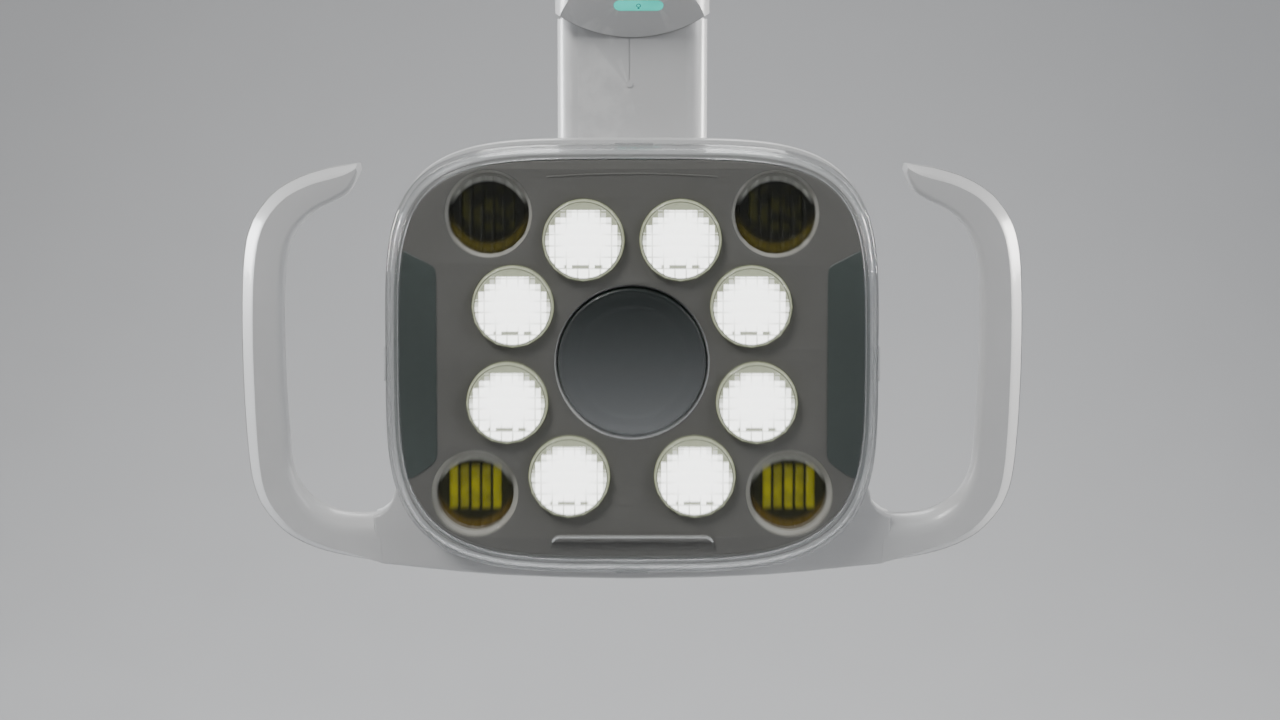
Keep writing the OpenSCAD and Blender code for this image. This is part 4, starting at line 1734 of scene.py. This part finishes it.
@dataclass
class Handle:
    """Open loop handle moulded as a front and a rear shell."""

    side: Side
    centre: Vector
    front: float = 12.0
    middle: float = 23.0
    rear: float = 34.0
    seam: float = 0.16
    steps: int = 5
    stations: tuple = (
        (101.5, -84, 103, -63.8, 0.4, 10), (115, -81.8, 111.3, -64.2, 2.0, 10),
        (128.5, -78.4, 120.8, -62.8, 3, 9), (139.4, -73.2, 129.2, -58.6, 3.4, 7),
        (146.3, -67, 134.5, -53.2, 3.8, 5), (151.7, -59.3, 137.6, -47, 4.2, 4),
        (155, -49, 139, -40, 4.6, 3.5), (156.9, -32, 140, -27, 4.7, 3), (158, -10, 141, -9, 4.8, 3),
        (158.3, 12, 141.4, 12, 4.8, 3), (157.9, 31, 141, 30, 4.9, 3),
        (156.9, 43, 139.6, 41.5, 5.1, 3), (155, 51.6, 136.8, 49.6, 5.2, 3),
        (151.2, 59.4, 132, 56.2, 5.3, 3), (144.5, 67.1, 126, 60.8, 5.4, 3),
        (134.9, 72.9, 119.5, 63.8, 5.4, 3), (124.1, 76.5, 114.4, 67, 5, 2.6),
        (117, 77.8, 111.9, 70.6, 3.6, 2), (111, 78.6, 110.4, 75, 1.2, 1),
    )

    def station(self, place: float) -> list[float]:
        """Outer point, inner point, bevel width and inner rounding at a place along the handle.

        Args:
            place: station number, with fractions in between.

        Returns:
            The six values.
        """
        last = len(self.stations) - 1
        k = min(int(place), last - 1)
        near = [self.stations[max(0, min(last, k + j))] for j in (-1, 0, 1, 2)]
        return [catmull(*(s[c] for s in near), place - k) for c in range(6)]

    def section(self, half: Half, width: float, bevel: float, inner: float) -> list[Point2]:
        """Cross-section of one shell as (distance from the outer edge, depth) points.

        Args:
            half: front or rear shell.
            width: distance from the outer to the inner edge.
            bevel: width of the outer bevel.
            inner: rounding of the inner edge.

        Returns:
            The points in millimetres.
        """
        f, m, r, s = self.front, self.middle, self.rear, self.seam
        q = min(1.0, width / 12.0)
        turns = [math.pi / 2 * k / 6 for k in range(7)]
        if half is Half.FRONT:
            slope = [
                (bevel * t, m - 4.2 + (f + 0.15 - m + 4.2) * t) for t in (0.06, 0.35, 0.65, 0.93)
            ]
            fall = min(inner, 9.2)
            inside = [
                (width - inner * (1 - math.sin(t)), f + fall * (1 - math.cos(t))) for t in turns
            ]
            return [(0.30 * q, m - s), (0, m - s - 0.35), (0, m - 4.6), *slope,
                    (bevel + 0.35, f), *inside, (width, m - s - 0.35), (width - 0.30 * q, m - s)]
        lean, round_off = min(1.6, width * 0.08), min(4.0, width * 0.2)
        edge = lean + round_off
        inside = [
            (width - edge + round_off * math.cos(t), r - round_off * (1 - math.sin(t)))
            for t in turns
        ]
        outside = [
            (edge - round_off * math.sin(t), r - round_off * (1 - math.cos(t))) for t in turns
        ]
        return [(width - 0.30 * q, m + s), (width, m + s + 0.35), *inside, *outside,
                (0, m + s + 0.35), (0.30 * q, m + s)]

    def ring(self, half: Half, place: float) -> list[Vector]:
        """One shell's ring at a place along the handle.

        Args:
            half: front or rear shell.
            place: station number, with fractions in between.

        Returns:
            The ring's points in millimetres.
        """
        ox, oz, ix, iz, bevel, inner = self.station(place)
        width = math.hypot(ix - ox, iz - oz)
        ring = []
        for d, y in self.section(half, width, min(bevel, width * 0.4), min(inner, width * 0.5)):
            x, z = ox + (ix - ox) * d / width, oz + (iz - oz) * d / width
            ring.append(self.centre + Vector((self.side.value * x, y, z)))
        return ring

    def build(self, half: Half) -> bpy.types.Object:
        """Build one shell.

        Args:
            half: front or rear shell.

        Returns:
            The linked object.
        """
        count = (len(self.stations) - 1) * self.steps
        rings = [self.ring(half, k / self.steps) for k in range(count + 1)]
        tip = sum(rings[-1], Vector()) / len(rings[-1])
        along = (tip - sum(rings[-2], Vector()) / len(rings[-2])).normalized()
        rings.append([tip + (p - tip) * 0.72 + along * 0.25 for p in rings[-1]])
        name = f"{self.side.name.lower()}_handle_shell_{half.value}"
        return skin_rings(name, rings, False, 24)

    def fit(self, paints: Paints) -> None:
        """Build, dress and place both shells."""
        for half in Half:
            node = f"{self.side.name.lower()}_handle_{half.value}"
            install(self.build(half), paints.shell, "head", "shell_grey", [node])


# ---------------------------------------------------------------------------------------------
# Neck, sensor and the parts kept from the frame
# ---------------------------------------------------------------------------------------------


@dataclass
class Sensor:
    """Lit pill window with a small bulb sign on the knuckle's sloping face."""

    low: Vector
    high: Vector
    slope: float = 129.5
    length: float = 20.4
    width: float = 5.2

    def place(self) -> Matrix:
        """Matrix that lays flat shapes on the sloping face, front towards local +Z."""
        middle = (self.low + self.high) / 2
        return Matrix.Translation(middle) @ Matrix.Rotation(math.radians(self.slope), 4, "X")

    def flat(
        self, name: str, loops: list[list[Point2]], low: float, high: float, edge: float
    ) -> bpy.types.Object:
        """A flat bevelled shape on the sloping face, between two heights."""
        place = self.place() @ Matrix.Translation((0, 0, (low + high) / 2 * MM))
        return flat_shape(name, loops, high - low, edge, place, SIGN_CREASE)

    def pill(self) -> list[Point2]:
        """Outline of the window.

        Returns:
            The points in millimetres.
        """
        half, straight = self.width / 2, self.length / 2 - self.width / 2
        right = [(straight + half * math.cos(t), half * math.sin(t)) for t in self.arc(-90, 90)]
        left = [(-straight + half * math.cos(t), half * math.sin(t)) for t in self.arc(90, 270)]
        return right + left

    def arc(self, start: float, stop: float, count: int = 16) -> list[float]:
        """Angles in radians from start to stop degrees."""
        return [math.radians(start + (stop - start) * k / count) for k in range(count + 1)]

    def bulb(self) -> list[list[Point2]]:
        """A bulb outline ring with a short cap under it.

        Returns:
            The outer and inner outline in millimetres.
        """
        turns = self.arc(0, 350, 28)
        outer = [(0.95 * math.cos(t), 0.25 + 0.95 * math.sin(t)) for t in turns]
        inner = [(0.68 * math.cos(t), 0.25 + 0.68 * math.sin(t)) for t in turns]
        return [outer, inner]

    def fit(self, paints: Paints) -> None:
        """Build, dress and place the window and its sign.

        Args:
            paints: every finish of the light.
        """
        window = self.flat("sensor_pill", [self.pill()], -0.95, 0.94, 0.35)
        install(window, paints.glow, "neck", "sensor_glow", ["sensor_window"])
        ring = self.flat("sensor_bulb", self.bulb(), 0.90, 0.98, 0.02)
        corners = [(-0.4, -1.35), (0.4, -1.35), (0.4, -0.85), (-0.4, -0.85)]
        cap = self.flat("sensor_bulb_cap", [corners], 0.90, 0.98, 0.02)
        for sign in (ring, cap):
            install(sign, paints.icon, "neck", "sensor_glow")


@dataclass
class KeptParts:
    """Parts shown as the frame has them, with rounded edges and a finish."""

    frame: dict
    rounded: dict[str, float] = field(default_factory=lambda: {
        "neck_front_cover": 0.5, "neck_rear_cover": 0.5,
        "knuckle_cover": 1.2, "arm_collar": 0.5, "arm_spindle": 0.5, "rear_cover": 0.4,
        "pivot_caps": 0.5, "tilt_hub": 0.5, "neck_frame": 0.4, "heat_sink": 0.3,
    })

    def fit(self, paints: Paints) -> None:
        """Round the edges and dress every part that is still shown.

        Args:
            paints: every finish of the light.
        """
        finishes = paints.by_slot()
        slots = {row["node"]: row["material_slot"] for row in self.frame["record"]["subparts"]}
        for name, obj in self.frame["nodes"].items():
            if obj.hide_render:
                continue
            dress(obj, finishes[slots[name]])
            self.smooth(obj, self.rounded.get(name, 0.0))
            LOG.info("%s kept with %s", name, slots[name])

    def smooth(self, obj: bpy.types.Object, radius: float) -> None:
        """Weld and round the edges of one part.

        Args:
            obj: the object.
            radius: radius in millimetres.
        """
        weld = obj.modifiers.new("weld", "WELD")
        weld.merge_threshold = 1e-6
        if radius > 0:
            edge = obj.modifiers.new("edge", "BEVEL")
            edge.width = radius * MM
            edge.segments = 3
            edge.limit_method = "ANGLE"
            edge.angle_limit = math.radians(CREASE)
            edge.use_clamp_overlap = True
            edge.harden_normals = False


# ---------------------------------------------------------------------------------------------
# Studio
# ---------------------------------------------------------------------------------------------


@dataclass
class Studio:
    """Floor, soft lights and the camera."""

    target: Vector
    lowest: float
    distance: float = 1.2
    elevation: float = 6.0
    view_width: float = 0.512
    aside: float = 0.0032
    above: float = 0.0008
    sensor: float = 36.0

    def camera(self) -> None:
        """Camera straight in front of the face, slightly above it."""
        data = bpy.data.cameras.new("camera")
        data.sensor_width = self.sensor
        data.lens = self.sensor * self.distance / self.view_width
        data.clip_start = 0.05
        obj = link_object(bpy.data.objects.new("camera", data))
        lift = math.radians(self.elevation)
        away = Vector((0, -math.cos(lift), math.sin(lift)))
        obj.location = self.target + Vector((self.aside, 0, self.above)) + away * self.distance
        obj.rotation_mode = "QUATERNION"
        obj.rotation_quaternion = (-away).to_track_quat("-Z", "Y")
        bpy.context.scene.camera = obj

    def floor(self) -> None:
        """Pale floor well below the light, swept up behind it without a corner."""
        low, half, near, far, bend = self.lowest - 0.45, 9.0, -9.0, 2.2, 1.6
        line = [(near, low), (far - bend, low)]
        for k in range(1, 25):
            turn = math.pi / 2 * k / 24
            line.append((far - bend + bend * math.sin(turn), low + bend - bend * math.cos(turn)))
        line.append((far, low + 7.0))
        points = [(x, y, z) for y, z in line for x in (-half, half)]
        faces = [(2 * k, 2 * k + 1, 2 * k + 3, 2 * k + 2) for k in range(len(line) - 1)]
        mesh = bpy.data.meshes.new("floor")
        mesh.from_pydata(points, [], faces)
        obj = link_object(bpy.data.objects.new("floor", mesh))
        soften(obj)
        paint = Moulding("pale floor", (0.43, 0.435, 0.445), 0.8, 0.0, 0.02, 60.0, 0.01, 0.0, 0.0)
        dress(obj, paint.make())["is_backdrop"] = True

    def softbox(
        self, name: str, aim: Vector, away: Vector, size: float, power: float, tint: Colour
    ) -> None:
        """One soft lamp, a step away from the point it is aimed at.

        Args:
            name: the name to give it.
            aim: the point it is aimed at.
            away: the step from that point to the lamp.
            size: diameter of the lamp in metres.
            power: power in watts.
            tint: colour of its light.
        """
        data = bpy.data.lights.new(name, "AREA")
        data.shape = "DISK"
        data.size = size
        data.energy = power
        data.color = tint
        obj = link_object(bpy.data.objects.new(name, data))
        obj.location = aim + away
        obj.rotation_mode = "QUATERNION"
        obj.rotation_quaternion = (-away).to_track_quat("-Z", "Y")

    def light(self) -> None:
        """World glow and the softboxes."""
        world = bpy.data.worlds.new("studio")
        world.use_nodes = True
        graph = Graph(world.node_tree)
        sky = world.node_tree.nodes["Background"]
        view = graph.add("ShaderNodeTexCoord").outputs["Generated"]
        parts = graph.add("ShaderNodeSeparateXYZ", {0: view})
        height = graph.span(parts.outputs["Z"], -0.35, 0.5)
        tone = graph.mix(height, (0.16, 0.16, 0.175), (0.80, 0.81, 0.83))
        world.node_tree.links.new(tone, sky.inputs["Color"])
        sky.inputs["Strength"].default_value = 0.36
        bpy.context.scene.world = world
        behind = self.target + Vector((0.0, 2.2, -0.3))
        for name, aim, away, size, power, tint in (
            ("key", self.target, (-0.7, -0.7, 1.2), 0.5, 20, (1.0, 0.99, 0.97)),
            ("fill", self.target, (1.2, -0.6, 0.7), 0.6, 9, (0.97, 0.98, 1.0)),
            ("rim_left", self.target, (-1.1, 0.35, 0.2), 0.4, 22, (0.96, 0.98, 1.0)),
            ("rim_right", self.target, (1.1, 0.35, 0.2), 0.4, 22, (1.0, 0.98, 0.95)),
            ("back", self.target, (0.0, 1.2, 1.1), 0.7, 8, (1.0, 1.0, 1.0)),
            ("wall", behind, (0.0, -1.4, 1.6), 1.6, 8, (1.0, 1.0, 1.0)),
        ):
            self.softbox(name, aim, Vector(away), size, power, tint)

    def fit(self) -> None:
        """Set up the whole studio."""
        self.camera()
        self.floor()
        self.light()


def head_centre() -> Vector:
    """Middle of the face plane in millimetres, from the centre cap's place.

    Returns:
        The point in millimetres.
    """
    low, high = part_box("centre_cap")
    cap_behind_face = 1.5
    across, up = (low.x + high.x) / 2 / MM, (low.z + high.z) / 2 / MM
    return Vector((across, high.y / MM - cap_behind_face, up))


def main() -> None:
    """Build the light in order and set up the studio."""
    logging.basicConfig(level=logging.INFO, format="%(name)s: %(message)s")
    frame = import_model()
    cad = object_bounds()
    centre = head_centre()
    paints = Paints()
    outline = HeadOutline()
    layout = LensLayout()
    Studio(centre * MM, cad[0].z).fit()
    Shield(outline, centre).fit(paints)
    Face(outline, layout, centre).fit(paints)
    for number, spot in enumerate(layout.white(), 1):
        WhiteLens(number, spot, centre).fit(paints)
    for number, spot in enumerate(layout.amber(), 1):
        row, radius, front = (Row.UPPER, 16.2, 4.5) if number < 3 else (Row.LOWER, 15.4, 5.5)
        AmberLens(number, spot, centre, row, radius, front).fit(paints)
    Housing(outline, centre).fit(paints)
    for side in Side:
        Handle(side, centre).fit(paints)
    Sensor(*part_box("sensor_window")).fit(paints)
    KeptParts(frame).fit(paints)


if __name__ == "__main__":
    main()
